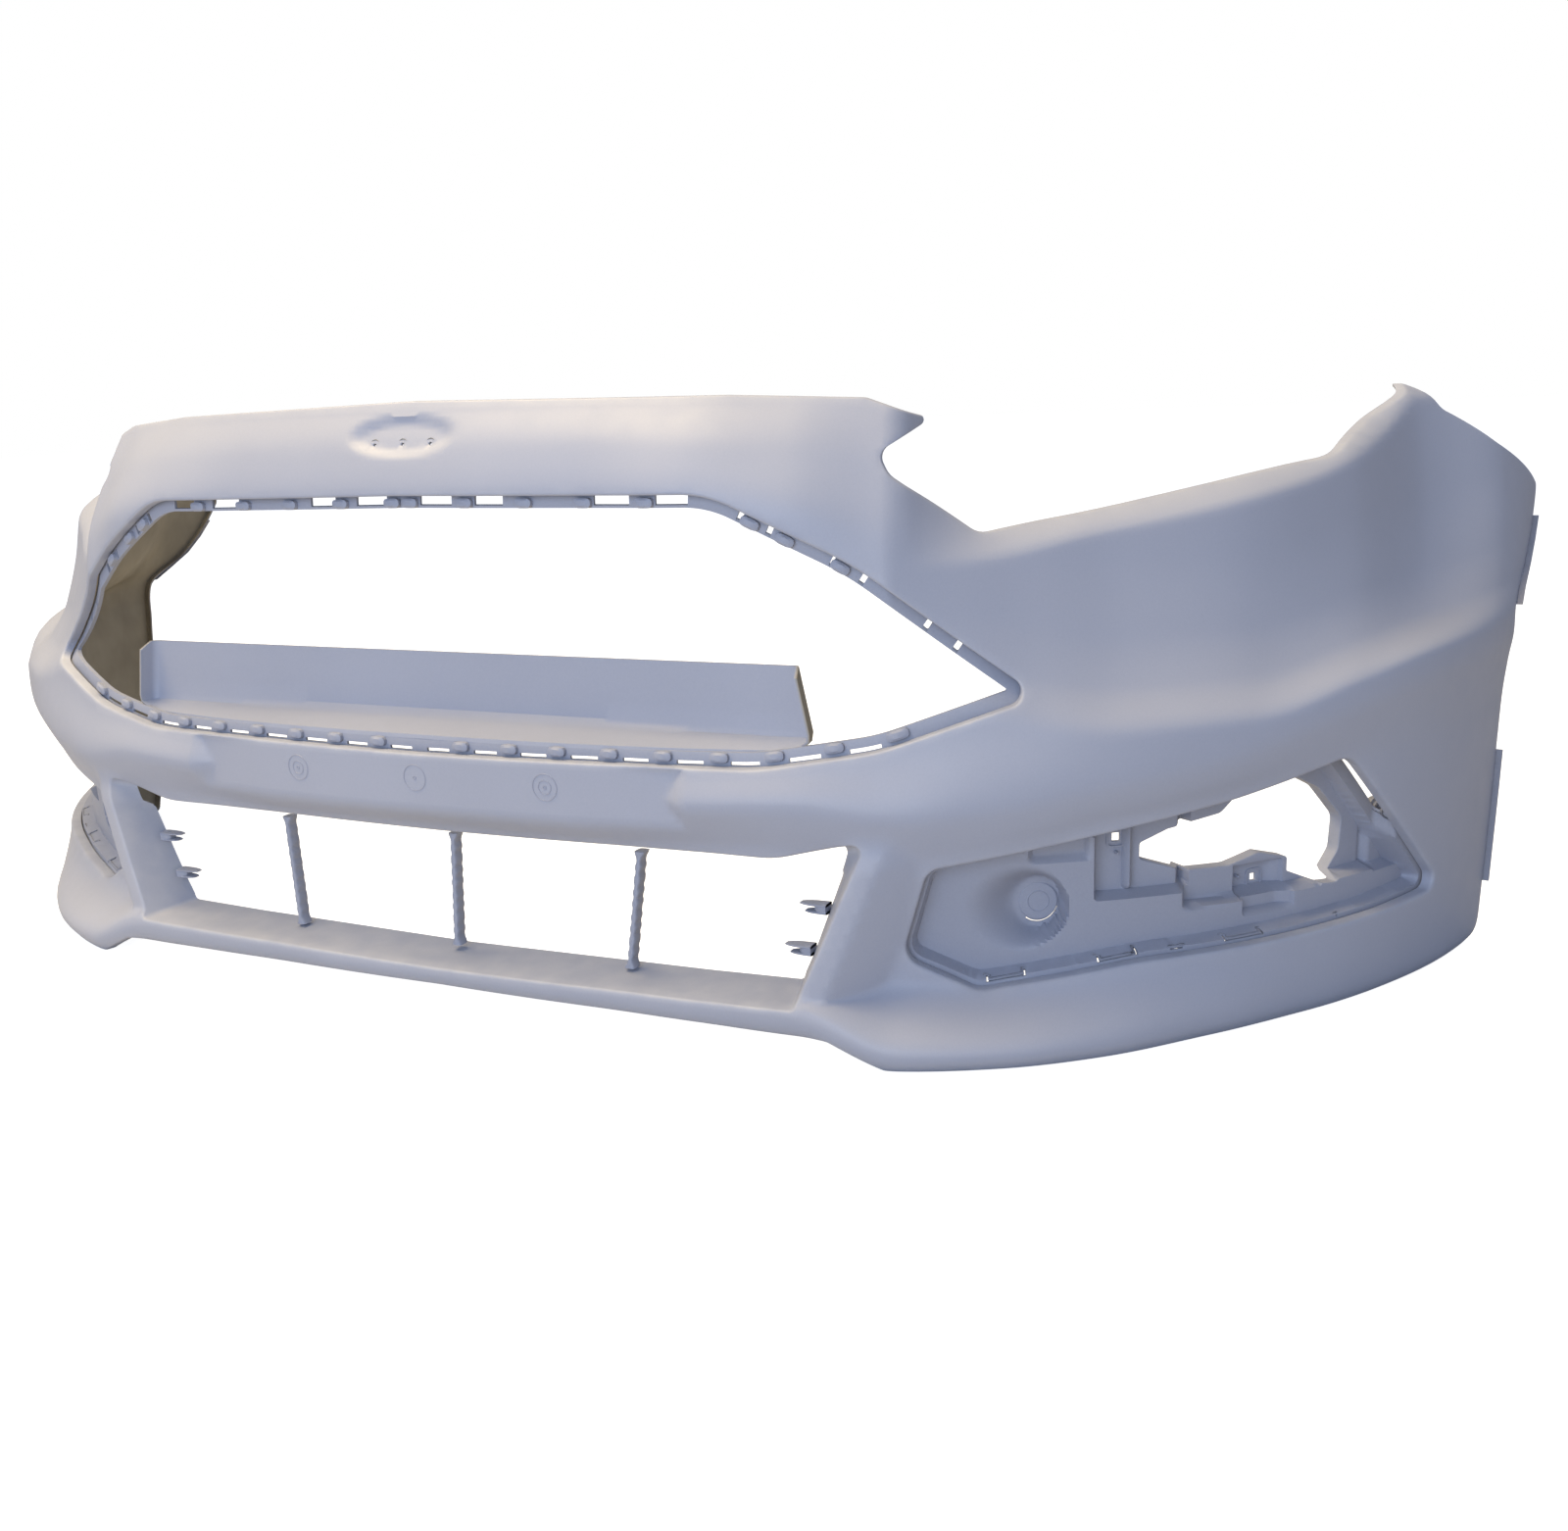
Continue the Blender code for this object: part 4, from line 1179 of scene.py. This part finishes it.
@dataclass
class GrilleRing:
    """Ring behind the edge of the upper aperture, with clip windows and the blocks between them."""

    shape: SkinField
    under: float = 0.0075
    width: float = 0.0108
    thickness: float = 0.0026
    step: float = 0.0024
    pitch: float = 0.0500
    pane_pitch: float = 0.058
    slit_pitch: float = 0.0247
    first_block: float = 0.0455
    high_blocks: tuple = (0.010, 0.068, 0.126, 0.184, 0.242, 0.333, 0.362, 0.405)
    block_size: tuple[float, float, float] = (0.0165, 0.0086, 0.0088)

    def place(self, s: Array, z: Array, depth: Array | float) -> Array:
        """Points behind the skin's edge; the plate pad below it doesn't shift them."""
        return self.shape.surface(s, z, depth, np.maximum(z, PAD_BAND[2] + 0.003))

    def loop(self) -> tuple[Array, Array]:
        """The aperture's edge and the length along it, from the middle of its top."""
        loop = mirrored_loop(APERTURE, self.step)
        ahead = np.linalg.norm(np.roll(loop, -1, axis=0) - loop, axis=1)
        return loop, np.concatenate([[0], np.cumsum(ahead)[:-1]])

    def open_cells(self, loop: Array, row: int) -> Array:
        """Which cells of a row of the strip are windows.

        Args:
            loop: the aperture's edge.
            row: number of the row, counted from under the skin.

        Returns:
            True for each cell that is left open.
        """
        s, z = np.abs(loop[:, 0]), loop[:, 1]
        bottom = (z < 0.262) & (s < 0.50)
        top = (z > 0.457) & (s < 0.30)
        flank = ~bottom & ~top & (z > 0.33)
        phase = (s / self.pitch) % 1.0
        slot = bottom & (phase > 0.16) & (phase < 0.66) & (row == 1)
        phase = (s / self.pane_pitch) % 1.0
        pane = top & (phase > 0.30) & (phase < 0.88) & ((s / (3 * self.pane_pitch)) % 1.0 < 0.6)
        pane &= row in (1, 2)
        slit = flank & ((s / self.slit_pitch) % 1.0 < 0.17) & ((s / (3 * self.slit_pitch)) % 1.0 > 0.34)
        slit &= row in (1, 2, 3)
        return slot | pane | slit

    def build(self, shop: Workshop, finish: PrimerFinish) -> None:
        """Make the strip with its windows, then the blocks."""
        loop, along = self.loop()
        insets = np.array([-self.under, 0.0004, 0.0034, self.width - 0.0022, self.width, self.width])
        depths = np.array([0.0, 0.0, 0.0, 0.0, 0.0006, 0.0045]) + RING_DEPTH
        into = inward_normals(loop)
        rows = [self.place(*(loop + into * inset).T, depth) for inset, depth in zip(insets, depths)]
        count = len(loop)
        faces: list[Face] = []
        used = np.zeros(count * len(rows), bool)
        clockwise = signed_area(loop) < 0
        here = np.arange(count)
        for r in range(len(rows) - 1):
            keep = here[~self.open_cells(loop, r)]
            after = (keep + 1) % count
            quad = np.stack([r * count + keep, r * count + after, (r + 1) * count + after,
                             (r + 1) * count + keep], -1)
            quad = quad[:, ::-1] if clockwise else quad
            used[quad.ravel()] = True
            faces += [tuple(f) for f in quad.tolist()]
        renumber = np.cumsum(used) - 1
        faces = [tuple(int(renumber[i]) for i in f) for f in faces]
        strip = thicken(np.vstack(rows)[used], faces, self.thickness)
        shop.piece("upper_grille_retainer_body", strip, finish, ("upper_grille_retainer",))
        shop.piece("grille_ring_blocks", self.blocks(loop, into), finish, slot="upper_grille_retainer")

    def blocks(self, loop: Array, into: Array) -> Solid:
        """Soft-edged blocks on the ring, one beside each slot of the lower run and in pairs on the upper.

        Args:
            loop: the aperture's edge.
            into: directions into the aperture.

        Returns:
            All blocks as one solid.
        """
        s, z = loop[:, 0], loop[:, 1]
        spots: list[int] = []
        for side in (-1, 1):
            low = np.flatnonzero((z < 0.262) & (s * side >= 0))
            spots += [int(low[np.argmin(np.abs(np.abs(s[low]) - at))])
                      for at in np.arange(self.first_block, 0.50, self.pitch)]
            high = np.flatnonzero((z > 0.40) & (s * side > 0))
            spots += [int(high[np.argmin(np.abs(np.abs(s[high]) - at))])
                      for at in self.high_blocks]
        solids = []
        base = pillow(self.block_size)
        for spot in spots:
            at = loop[spot] + into[spot] * 0.0066
            tangent = np.array([into[spot][1], -into[spot][0]])
            ends = np.array([at, at + tangent * 0.001, at + into[spot] * 0.001])
            centre, ahead, inner = self.place(ends[:, 0], ends[:, 1], RING_DEPTH - 0.0012)
            x_axis = (ahead - centre) / np.linalg.norm(ahead - centre)
            y_axis = inner - centre
            y_axis -= x_axis * (y_axis @ x_axis)
            y_axis /= np.linalg.norm(y_axis)
            basis = np.stack([x_axis, y_axis, np.cross(x_axis, y_axis)])
            solids.append(Solid(base.points @ basis + centre, base.faces))
        return merged(solids)


@dataclass
class CloseoutTray:
    """Tray behind the lower edge of the aperture: an upright wall with short sides, and a shelf."""

    shape: SkinField
    half: float = 0.353
    front: float = 0.041
    back: float = 0.058
    rearmost: float = 0.0618
    top: float = 0.320
    bottom: float = 0.263
    shelf_z: float = 0.2535
    setback: float = 0.0138
    slant: float = 0.011
    wall: float = 0.0025
    corner: float = 0.007

    def build(self, shop: Workshop, finish: PrimerFinish) -> None:
        """Carry the wall's height along its plan path, then blend down into the shelf."""
        y = self.shape.shift_y
        half, back = self.half, self.back
        path = rounded_path(((-half - 0.003, self.front, 0), (-half, back, self.corner),
                             (half, back, self.corner), (half + 0.003, self.front, 0)), False, 0.008)
        table = self.shape.plan.table()
        shelf_x = path[:, 0] * (half - 0.001) / half
        shelf_y = np.minimum(np.interp(shelf_x, table[1], table[2]) + self.setback, back - 0.006)
        ends = np.abs(path[:, 1] - self.front)
        drop = 0.007 * (1 - np.sqrt(np.clip(ends / 0.010, 0, 1))) * (np.abs(path[:, 0]) > half * 0.98)
        crest = self.top - drop
        levels = [crest + (self.bottom + 0.004 - crest) * t for t in (0.0, 0.02, 0.33, 0.66, 1.0)]
        lean = self.slant * np.sign(path[:, 0]) * (np.abs(path[:, 0]) > half * 0.98)
        lean = np.column_stack([lean, 0 * lean, 0 * lean])
        share = [(self.top - level) / (self.top - self.bottom) for level in levels]
        rows = [np.column_stack([path, level]) + lean * part[:, None] for level, part in zip(levels, share)]
        wall_foot = np.column_stack([path, np.full(len(path), self.bottom)]) + lean
        shelf = np.column_stack([shelf_x, shelf_y, np.full(len(path), self.shelf_z)])
        run = shelf - wall_foot
        rows += [wall_foot + run * t - (0, 0, 0.0006 * (1 - t)) for t in (0.12, 0.3, 0.6, 0.9)]
        rows.append(shelf)
        rows.append(shelf - (0, 0.0008, 0.0035))
        count = len(path)
        r, i = np.meshgrid(np.arange(len(rows) - 1), np.arange(count - 1), indexing="ij")
        quads = np.stack([(r + 1) * count + i, (r + 1) * count + i + 1, r * count + i + 1, r * count + i], -1)
        faces = [tuple(quad) for quad in quads.reshape(-1, 4).tolist()]
        solid = thicken(np.vstack(rows) + (0, y, 0), faces, self.wall)
        shop.piece("closeout_panel_body", solid, finish, ("closeout_panel",), 40.0)


@dataclass
class FogPocket:
    """Moulding behind a fog aperture: stepped rim, round lamp bowl, bracket boxes and openings."""

    shape: SkinField
    overlap: float = 0.007
    wall: float = 0.0022
    rim_depth: float = 0.0125
    face_depth: float = 0.026
    bowl_centre: tuple[float, float] = (0.539, 0.113)
    bowl_radii: tuple[float, float] = (0.047, 0.039)
    disc_centre: tuple[float, float] = (0.5620, 0.1105)
    disc_radii: tuple[float, float] = (0.0207, 0.0214)
    bowl_depth: float = 0.024
    opening: tuple = (
        (0.653, 0.143, 0.004), (0.653, 0.158, 0.004), (0.680, 0.168, 0.01), (0.734, 0.176, 0.01),
        (0.748, 0.188, 0.006), (0.812, 0.200, 0.012), (0.846, 0.184, 0.02), (0.880, 0.152, 0.012),
        (0.878, 0.122, 0.012), (0.857, 0.0995, 0.004), (0.841, 0.101, 0.01), (0.811, 0.113, 0.003),
        (0.811, 0.126, 0.003), (0.777, 0.1345, 0.006), (0.744, 0.127, 0.02), (0.700, 0.128, 0.03),
    )
    square_holes: tuple = ((0.631, 0.165, 0.0042), (0.780, 0.110, 0.0038))
    slots: tuple = ((0.512, 0.546), (0.607, 0.643), (0.723, 0.762), (0.672, 0.684), (0.842, 0.845))
    slit_radii: tuple[float, float] = (0.0174, 0.0196)
    rim_step: tuple[float, float] = (0.0040, 0.0075)
    boss: tuple[float, float] = (0.916, 0.155)

    def outline(self) -> Array:
        """The fog aperture's edge."""
        return ccw(rounded_path(FOG_APERTURE, True, 0.005))

    def depth(self, s: Array, z: Array) -> Array:
        """Depth behind the skin: rim step, bowl between its mouth and its floor, boxes and ribs."""
        at = np.stack([s, z], -1)
        loop = self.outline()
        inward = clearance(at, loop) * np.where(inside(at, loop), 1, -1)
        depth = self.rim_depth + (self.face_depth - self.rim_depth) * ease(inward, *self.rim_step)
        mouth = np.hypot((s - self.bowl_centre[0]) / self.bowl_radii[0],
                         (z - self.bowl_centre[1]) / self.bowl_radii[1])
        floor = np.hypot((s - self.disc_centre[0]) / self.disc_radii[0],
                         (z - self.disc_centre[1]) / self.disc_radii[1])
        out, rim = np.maximum(floor - 1, 0), np.maximum(1 - mouth, 0)
        blend = out / np.maximum(out + rim * 1.6, 1e-9)
        bowl = np.where(mouth < 1, 1 - ease(blend, 0.0, 0.97), 0.0)
        depth = depth + self.bowl_depth * bowl
        depth = depth + 0.006 * window(s, 0.554, 0.600, 0.004) * ease(z, 0.150, 0.157)
        depth = depth + 0.014 * window(s, 0.611, 0.700, 0.003) * ease(z, 0.115, 0.1185)
        depth = depth - 0.009 * window(s, 0.6395, 0.6425, 0.0025) * ease(z, 0.117, 0.124)
        depth = depth + 0.016 * window(s, 0.700, 0.905, 0.012) * ease(z - (s - 0.70) * 0.02, 0.099, 0.1025)
        box = window(s, 0.752, 0.804, 0.003) * window(z, 0.090, 0.124, 0.003)
        depth = depth + 0.010 * box * (1 - ease(s, 0.790, 0.806) * 0.6)
        return depth + 0.012 * ease(s, 0.905, 0.912) * ease(z, 0.100, 0.104) * (inward > 0.0075)

    def place(self, s: Array, z: Array, extra: float) -> Array:
        """Points of the moulding, extra deeper than its face."""
        return self.shape.surface(s, z, self.depth(s, z) + extra)

    @staticmethod
    def slot_loop(low: float, high: float) -> Array:
        """Slot along the lower rim whose ends turn up, as a clip leaves.

        Args:
            low: arc length where it starts.
            high: arc length where it ends.

        Returns:
            Its outline.
        """
        stations = [corner[0] for corner in FOG_APERTURE[6:3:-1]]
        heights = [corner[1] for corner in FOG_APERTURE[6:3:-1]]
        left, right = np.interp((low, high), stations, heights)
        below, above = 0.0012, 0.0034
        tip = above + (0.0024 if high - low > 0.02 else 0.0002)
        arm = min(0.0020, (high - low) * 0.4)
        corners = ((low, left + below, 0), (high, right + below, 0), (high, right + tip, 0),
                   (high - arm, right + tip, 0), (high - arm, right + above, 0),
                   (low + arm, left + above, 0), (low + arm, left + tip, 0), (low, left + tip, 0))
        return rounded_path(corners, True, 0.004)

    def slit(self) -> Array:
        """Crescent slit round the lower outer side of the disc."""
        angle = np.radians(np.linspace(-128, -18, 16))
        arc = np.stack([np.cos(angle), np.sin(angle)], -1)
        return np.vstack([arc * self.slit_radii[1], arc[::-1] * self.slit_radii[0]]) + self.disc_centre

    def build(self, shop: Workshop, finish: PrimerFinish, disc_finish: PrimerFinish) -> None:
        """Make both pockets with their floors and bosses."""
        loop = self.outline()
        rim = offset_loop(loop, -self.overlap)
        step = 0.0024
        s, z = np.meshgrid(np.arange(0.425, 0.985, step), np.arange(0.040, 0.235, step))
        inner = np.stack([s.ravel(), z.ravel()], -1)
        opening = rounded_path(self.opening, True, 0.004)
        squares = [rounded_path(((c - r, h - r, 0.001), (c + r, h - r, 0.001), (c + r, h + r, 0.001),
                                 (c - r, h + r, 0.001)), True, 0.003) for c, h, r in self.square_holes]
        slots = [self.slot_loop(*slot) for slot in self.slots]
        boss = ellipse(self.boss, (0.0055, 0.0055), 20)
        holes = [opening, *squares, self.slit(), *slots, boss]
        back = [rolled_edge(self.place, 0.0006, reach, 1) for reach in
                (0.012, *(0.003 for _ in squares), 0.002, *(0.002 for _ in slots), 0.004)]
        folds = [offset_loop(loop, self.rim_step[0] - 0.0002), offset_loop(loop, self.rim_step[1] + 0.0002)]
        solid = flanged_shell(rim, holes, inner, self.place,
                              [rolled_edge(self.place, 0.0006, 0.004, 1), *back], self.wall,
                              [np.vstack([fold, fold[:1]]) for fold in folds], keep_off=step * 0.4)
        shop.pair("fog_carrier", solid, finish, True, 38.0)
        shop.pair("fog_lamp_blank", self.disc(), disc_finish, True)
        shop.pair("screw_grommet", self.grommet(), disc_finish, True)
        shop.pair("bracket_frame", self.frames(), finish, False, slot="fog_carrier_left")

    def disc(self) -> Solid:
        """Turned disc on the floor of the bowl, with a faint ring on its face."""
        depth = self.face_depth + self.bowl_depth - 0.0004
        centre, normal, _ = self.shape.point(*self.disc_centre, depth)
        section = np.array([(0.0002, -0.0016), (0.0160, -0.0016), (0.0165, 0.0), (0.0155, 0.0008),
                            (0.0095, 0.0009), (0.0088, 0.0014), (0.0080, 0.0009), (0.0002, 0.0009)])
        return ring_grid(section, centre, normal, 56)

    def grommet(self) -> Solid:
        """Round boss with a small hole."""
        centre, normal, _ = self.shape.point(*self.boss, self.face_depth + 0.012)
        section = np.array([(0.0028, 0.0), (0.0028, 0.0055), (0.0042, 0.0075), (0.0062, 0.0075),
                            (0.0070, 0.0055), (0.0094, 0.0045), (0.0100, 0.0)])
        return ring_grid(section, centre, normal, 40)

    def frames(self) -> Solid:
        """Thin raised frames round the square holes, and the pin beside each."""
        solids = []
        for c, h, r in self.square_holes:
            depth = float(self.depth(np.array([c + r + 0.002]), np.array([h]))[0])
            centre, normal, across = self.shape.point(c, h, depth)
            angle = np.linspace(0, 2 * np.pi, 48, endpoint=False)
            power = 0.5
            unit = np.stack([np.sign(np.cos(angle)) * np.abs(np.cos(angle)) ** power,
                             np.sign(np.sin(angle)) * np.abs(np.sin(angle)) ** power], -1)
            rows = []
            for size, lift in ((r + 0.0030, -0.0002), (r + 0.0044, -0.0002), (r + 0.0042, 0.0012),
                               (r + 0.0032, 0.0012)):
                rows.append(centre + across * unit[:, :1] * size + np.array([0, 0, 1.0]) * unit[:, 1:] * size
                            + normal * lift)
            solids.append(sweep(np.stack(rows, 1), closed=True))
            pin = pillow((0.0030, 0.0030, 0.0100), 3.0)
            basis = np.stack([across, np.array([0, 0, 1.0]), normal])
            offset = across * (0.0 if c < 0.7 else -0.018) + np.array([0, 0, -0.013 if c < 0.7 else 0.004])
            solids.append(Solid(pin.points @ basis + centre + offset, pin.faces))
        return merged(solids)


@dataclass
class IntakeFittings:
    """Struts and snap hooks of the lower intake."""

    shape: SkinField
    half: tuple[float, float] = (0.199, 0.187)
    y: tuple[float, float] = (0.050, 0.040)
    z: tuple[float, float] = (0.1535, 0.0485)
    width: float = 0.0058
    chord: float = 0.0125
    levels: tuple = (("upper", 0.118), ("lower", 0.080))
    hook_y: tuple[float, float] = (0.046, 0.060)
    reach: float = 0.025

    def post(self, side: int) -> Solid:
        """Slim strut whose width steps in and out where the grille's teeth were."""
        t = np.linspace(0, 1, 43)
        tooth = 1 + 0.16 * np.sign(np.sin(t * 2 * np.pi * 9.5)) * (t > 0.06) * (t < 0.94)
        flare = 1 + 0.9 * (1 - ease(t, 0.0, 0.06)) + 0.9 * ease(t, 0.94, 1.0)
        angle = np.linspace(0, 2 * np.pi, 16, endpoint=False)
        unit = np.stack([np.sign(np.cos(angle)) * np.abs(np.cos(angle)) ** 0.5,
                         np.sign(np.sin(angle)) * np.abs(np.sin(angle)) ** 0.5], -1)
        size = np.stack([self.width / 2 * tooth * flare, self.chord / 2 * np.ones_like(t)], -1)
        section = unit[None] * size[:, None]
        x = side * (self.half[0] + (self.half[1] - self.half[0]) * t)
        y = self.shape.shift_y + self.y[0] + (self.y[1] - self.y[0]) * t
        z = self.z[0] + (self.z[1] - self.z[0]) * t
        rows = np.concatenate([section, np.zeros((*section.shape[:2], 1))], -1)
        return sweep(rows + np.stack([x, y, z], -1)[:, None])

    def hook(self, z: float) -> Solid:
        """Tongue with two prongs and a thicker root."""
        (high_s, high_z), (low_s, low_z) = INTAKE[2][:2], INTAKE[3][:2]
        s = low_s + (high_s - low_s) * (z - low_z) / (high_z - low_z)
        wall = self.shape.surface(np.array([s]), np.array([z]))[0, 0] * TUNNEL_TAPER - 0.0012
        y = self.shape.shift_y + sum(self.hook_y) / 2
        deep = self.hook_y[1] - self.hook_y[0]
        solids = []
        for lift, length, thick in ((0.0032, self.reach, 0.0024), (-0.0032, self.reach * 0.82, 0.0024),
                                    (0.0, self.reach * 0.45, 0.0100)):
            t = np.linspace(0, 1, 7)
            tip = np.sqrt(1 - 0.75 * t ** 3)
            angle = np.linspace(0, 2 * np.pi, 14, endpoint=False)
            unit = np.stack([np.sign(np.cos(angle)) * np.abs(np.cos(angle)) ** 0.6,
                             np.sign(np.sin(angle)) * np.abs(np.sin(angle)) ** 0.6], -1)
            ring = unit[None] * np.stack([deep / 2 * tip, thick / 2 * tip], -1)[:, None]
            rows = np.concatenate([np.zeros((*ring.shape[:2], 1)), ring], -1)
            x = wall - length * t
            solids.append(sweep(rows + np.stack([x, np.full(7, y), z + lift + 0 * t], -1)[:, None]))
        return merged(solids)

    def build(self, shop: Workshop, finish: PrimerFinish) -> None:
        """Make the three struts and the two pairs of hooks."""
        for name, side in (("right", -1), ("centre", 0), ("left", 1)):
            shop.piece(f"intake_post_{name}_body", self.post(side), finish, (f"intake_post_{name}",))
        for level, z in self.levels:
            shop.pair("grille_hook_" + level, self.hook(z), finish, True)


@dataclass
class Studio:
    """Pale floor, soft lights and the camera."""

    shape: SkinField
    camera_place: tuple[float, float, float] = (0.911, -1.100, 0.555)
    yaw: float = 26.39
    pitch: float = 13.85
    roll: float = -2.79
    lens: float = 37.125
    ambient: Colour = (0.33, 0.36, 0.44)

    def camera(self) -> None:
        """Camera from its place and its yaw, pitch and roll."""
        yaw, pitch, roll = np.radians([self.yaw, self.pitch, self.roll])
        ahead = np.array([-np.sin(yaw) * np.cos(pitch), np.cos(yaw) * np.cos(pitch), -np.sin(pitch)])
        level = np.array([np.cos(yaw), np.sin(yaw), 0.0])
        upright = np.cross(level, ahead)
        right = np.cos(roll) * level + np.sin(roll) * upright
        up = -np.sin(roll) * level + np.cos(roll) * upright
        data = bpy.data.cameras.new("camera")
        data.sensor_fit = "HORIZONTAL"
        data.sensor_width = 36.0
        data.lens = self.lens
        data.clip_end = 50.0
        camera = bpy.data.objects.new("camera", data)
        place = np.array(self.camera_place) + (0, self.shape.shift_y, 0)
        basis = np.stack([right, up, -ahead], 1)
        camera.matrix_world = Matrix([[*basis[k], place[k]] for k in range(3)] + [[0, 0, 0, 1]])
        bpy.context.scene.collection.objects.link(camera)
        bpy.context.scene.camera = camera

    def light(self, name: str, place: tuple, size: float, power: float, colour: Colour) -> None:
        """Square area light that faces the middle of the cover.

        Args:
            name: the lamp's name.
            place: where it hangs.
            size: its side.
            power: in watts.
            colour: of its light.
        """
        data = bpy.data.lights.new(name, "AREA")
        data.shape = "SQUARE"
        data.size = size
        data.energy = power
        data.color = colour
        lamp = bpy.data.objects.new(name, data)
        bpy.context.scene.collection.objects.link(lamp)
        ray = np.array([0.0, 0.0, 0.27]) - np.array(place)
        ray /= np.linalg.norm(ray)
        side = np.cross(ray, (0, 0.001, 1.0))
        side /= np.linalg.norm(side)
        up = np.cross(side, ray)
        lamp.matrix_world = Matrix([[side[k], up[k], -ray[k], place[k]] for k in range(3)] + [[0, 0, 0, 1]])

    def floor(self) -> None:
        """Large pale floor just below the cover."""
        mesh = bpy.data.meshes.new("floor")
        reach = 14.0
        mesh.from_pydata([(-reach, -reach, -0.0005), (reach, -reach, -0.0005), (reach, reach, -0.0005),
                          (-reach, reach, -0.0005)], [], [(0, 1, 2, 3)])
        material = bpy.data.materials.new("pale_floor")
        graph = Graph(material)
        tone = graph.spread(graph.noise(1.2, 2.0), 0.2, 0.8)
        graph.feed(graph.shader.inputs["Base Color"], graph.mix(tone, (0.50, 0.50, 0.51), (0.53, 0.53, 0.53)))
        seen = graph.node("ShaderNodeLightPath", out="Is Camera Ray")
        glow = graph.mix(seen, (0.0, 0.0, 0.0), (0.90, 0.90, 0.90))
        graph.feed(graph.shader.inputs["Emission Color"], glow)
        graph.shader.inputs["Emission Strength"].default_value = 1.0
        graph.shader.inputs["Roughness"].default_value = 0.85
        mesh.materials.append(material)
        floor = bpy.data.objects.new("floor", mesh)
        bpy.context.scene.collection.objects.link(floor)

    def build(self) -> None:
        """Set the world, the floor, the lights and the camera."""
        world = bpy.data.worlds.new("studio")
        graph = Graph(world)
        seen = graph.node("ShaderNodeLightPath", out="Is Camera Ray")
        graph.feed(graph.shader.inputs["Color"], graph.mix(seen, self.ambient, (1.0, 1.0, 1.0)))
        bpy.context.scene.world = world
        bpy.context.scene.view_settings.view_transform = "Standard"
        self.floor()
        self.light("overhead_warm", (-1.0, -0.5, 3.1), 2.0, 157.0, (1.0, 0.79, 0.46))
        self.light("front_cool", (0.6, -3.5, 1.2), 2.2, 66.0, (0.62, 0.76, 1.0))
        self.camera()


def dress_carried_nodes(shop: Workshop) -> None:
    """Give the CAD nodes that stay in view their finish."""
    for name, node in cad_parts.items():
        finish = BARE if "strip" in name or "grommet" in name else PRIMER
        node.data.materials.clear()
        node.data.materials.append(shop.finish(finish))
        logging.info("carried node %s: %s", name, finish.name)


def main() -> None:
    """Build every sub-assembly around the frame."""
    logging.basicConfig(level=logging.INFO, format="%(message)s")
    shape = SkinField()
    shop = Workshop()
    Studio(shape).build()
    dress_carried_nodes(shop)
    Skin(shape).build(shop, PRIMER)
    # The pad marks, grille ring, fog pockets and intake fittings take the darker primer, which is painted
    # shade.
    PadMarks(shape).build(shop, SHADED_PRIMER)
    GrilleRing(shape).build(shop, SHADED_PRIMER)
    CloseoutTray(shape).build(shop, PRIMER)
    FogPocket(shape).build(shop, SHADED_PRIMER, SHADED_PRIMER)
    IntakeFittings(shape).build(shop, SHADED_PRIMER)


if __name__ == "__main__":
    main()
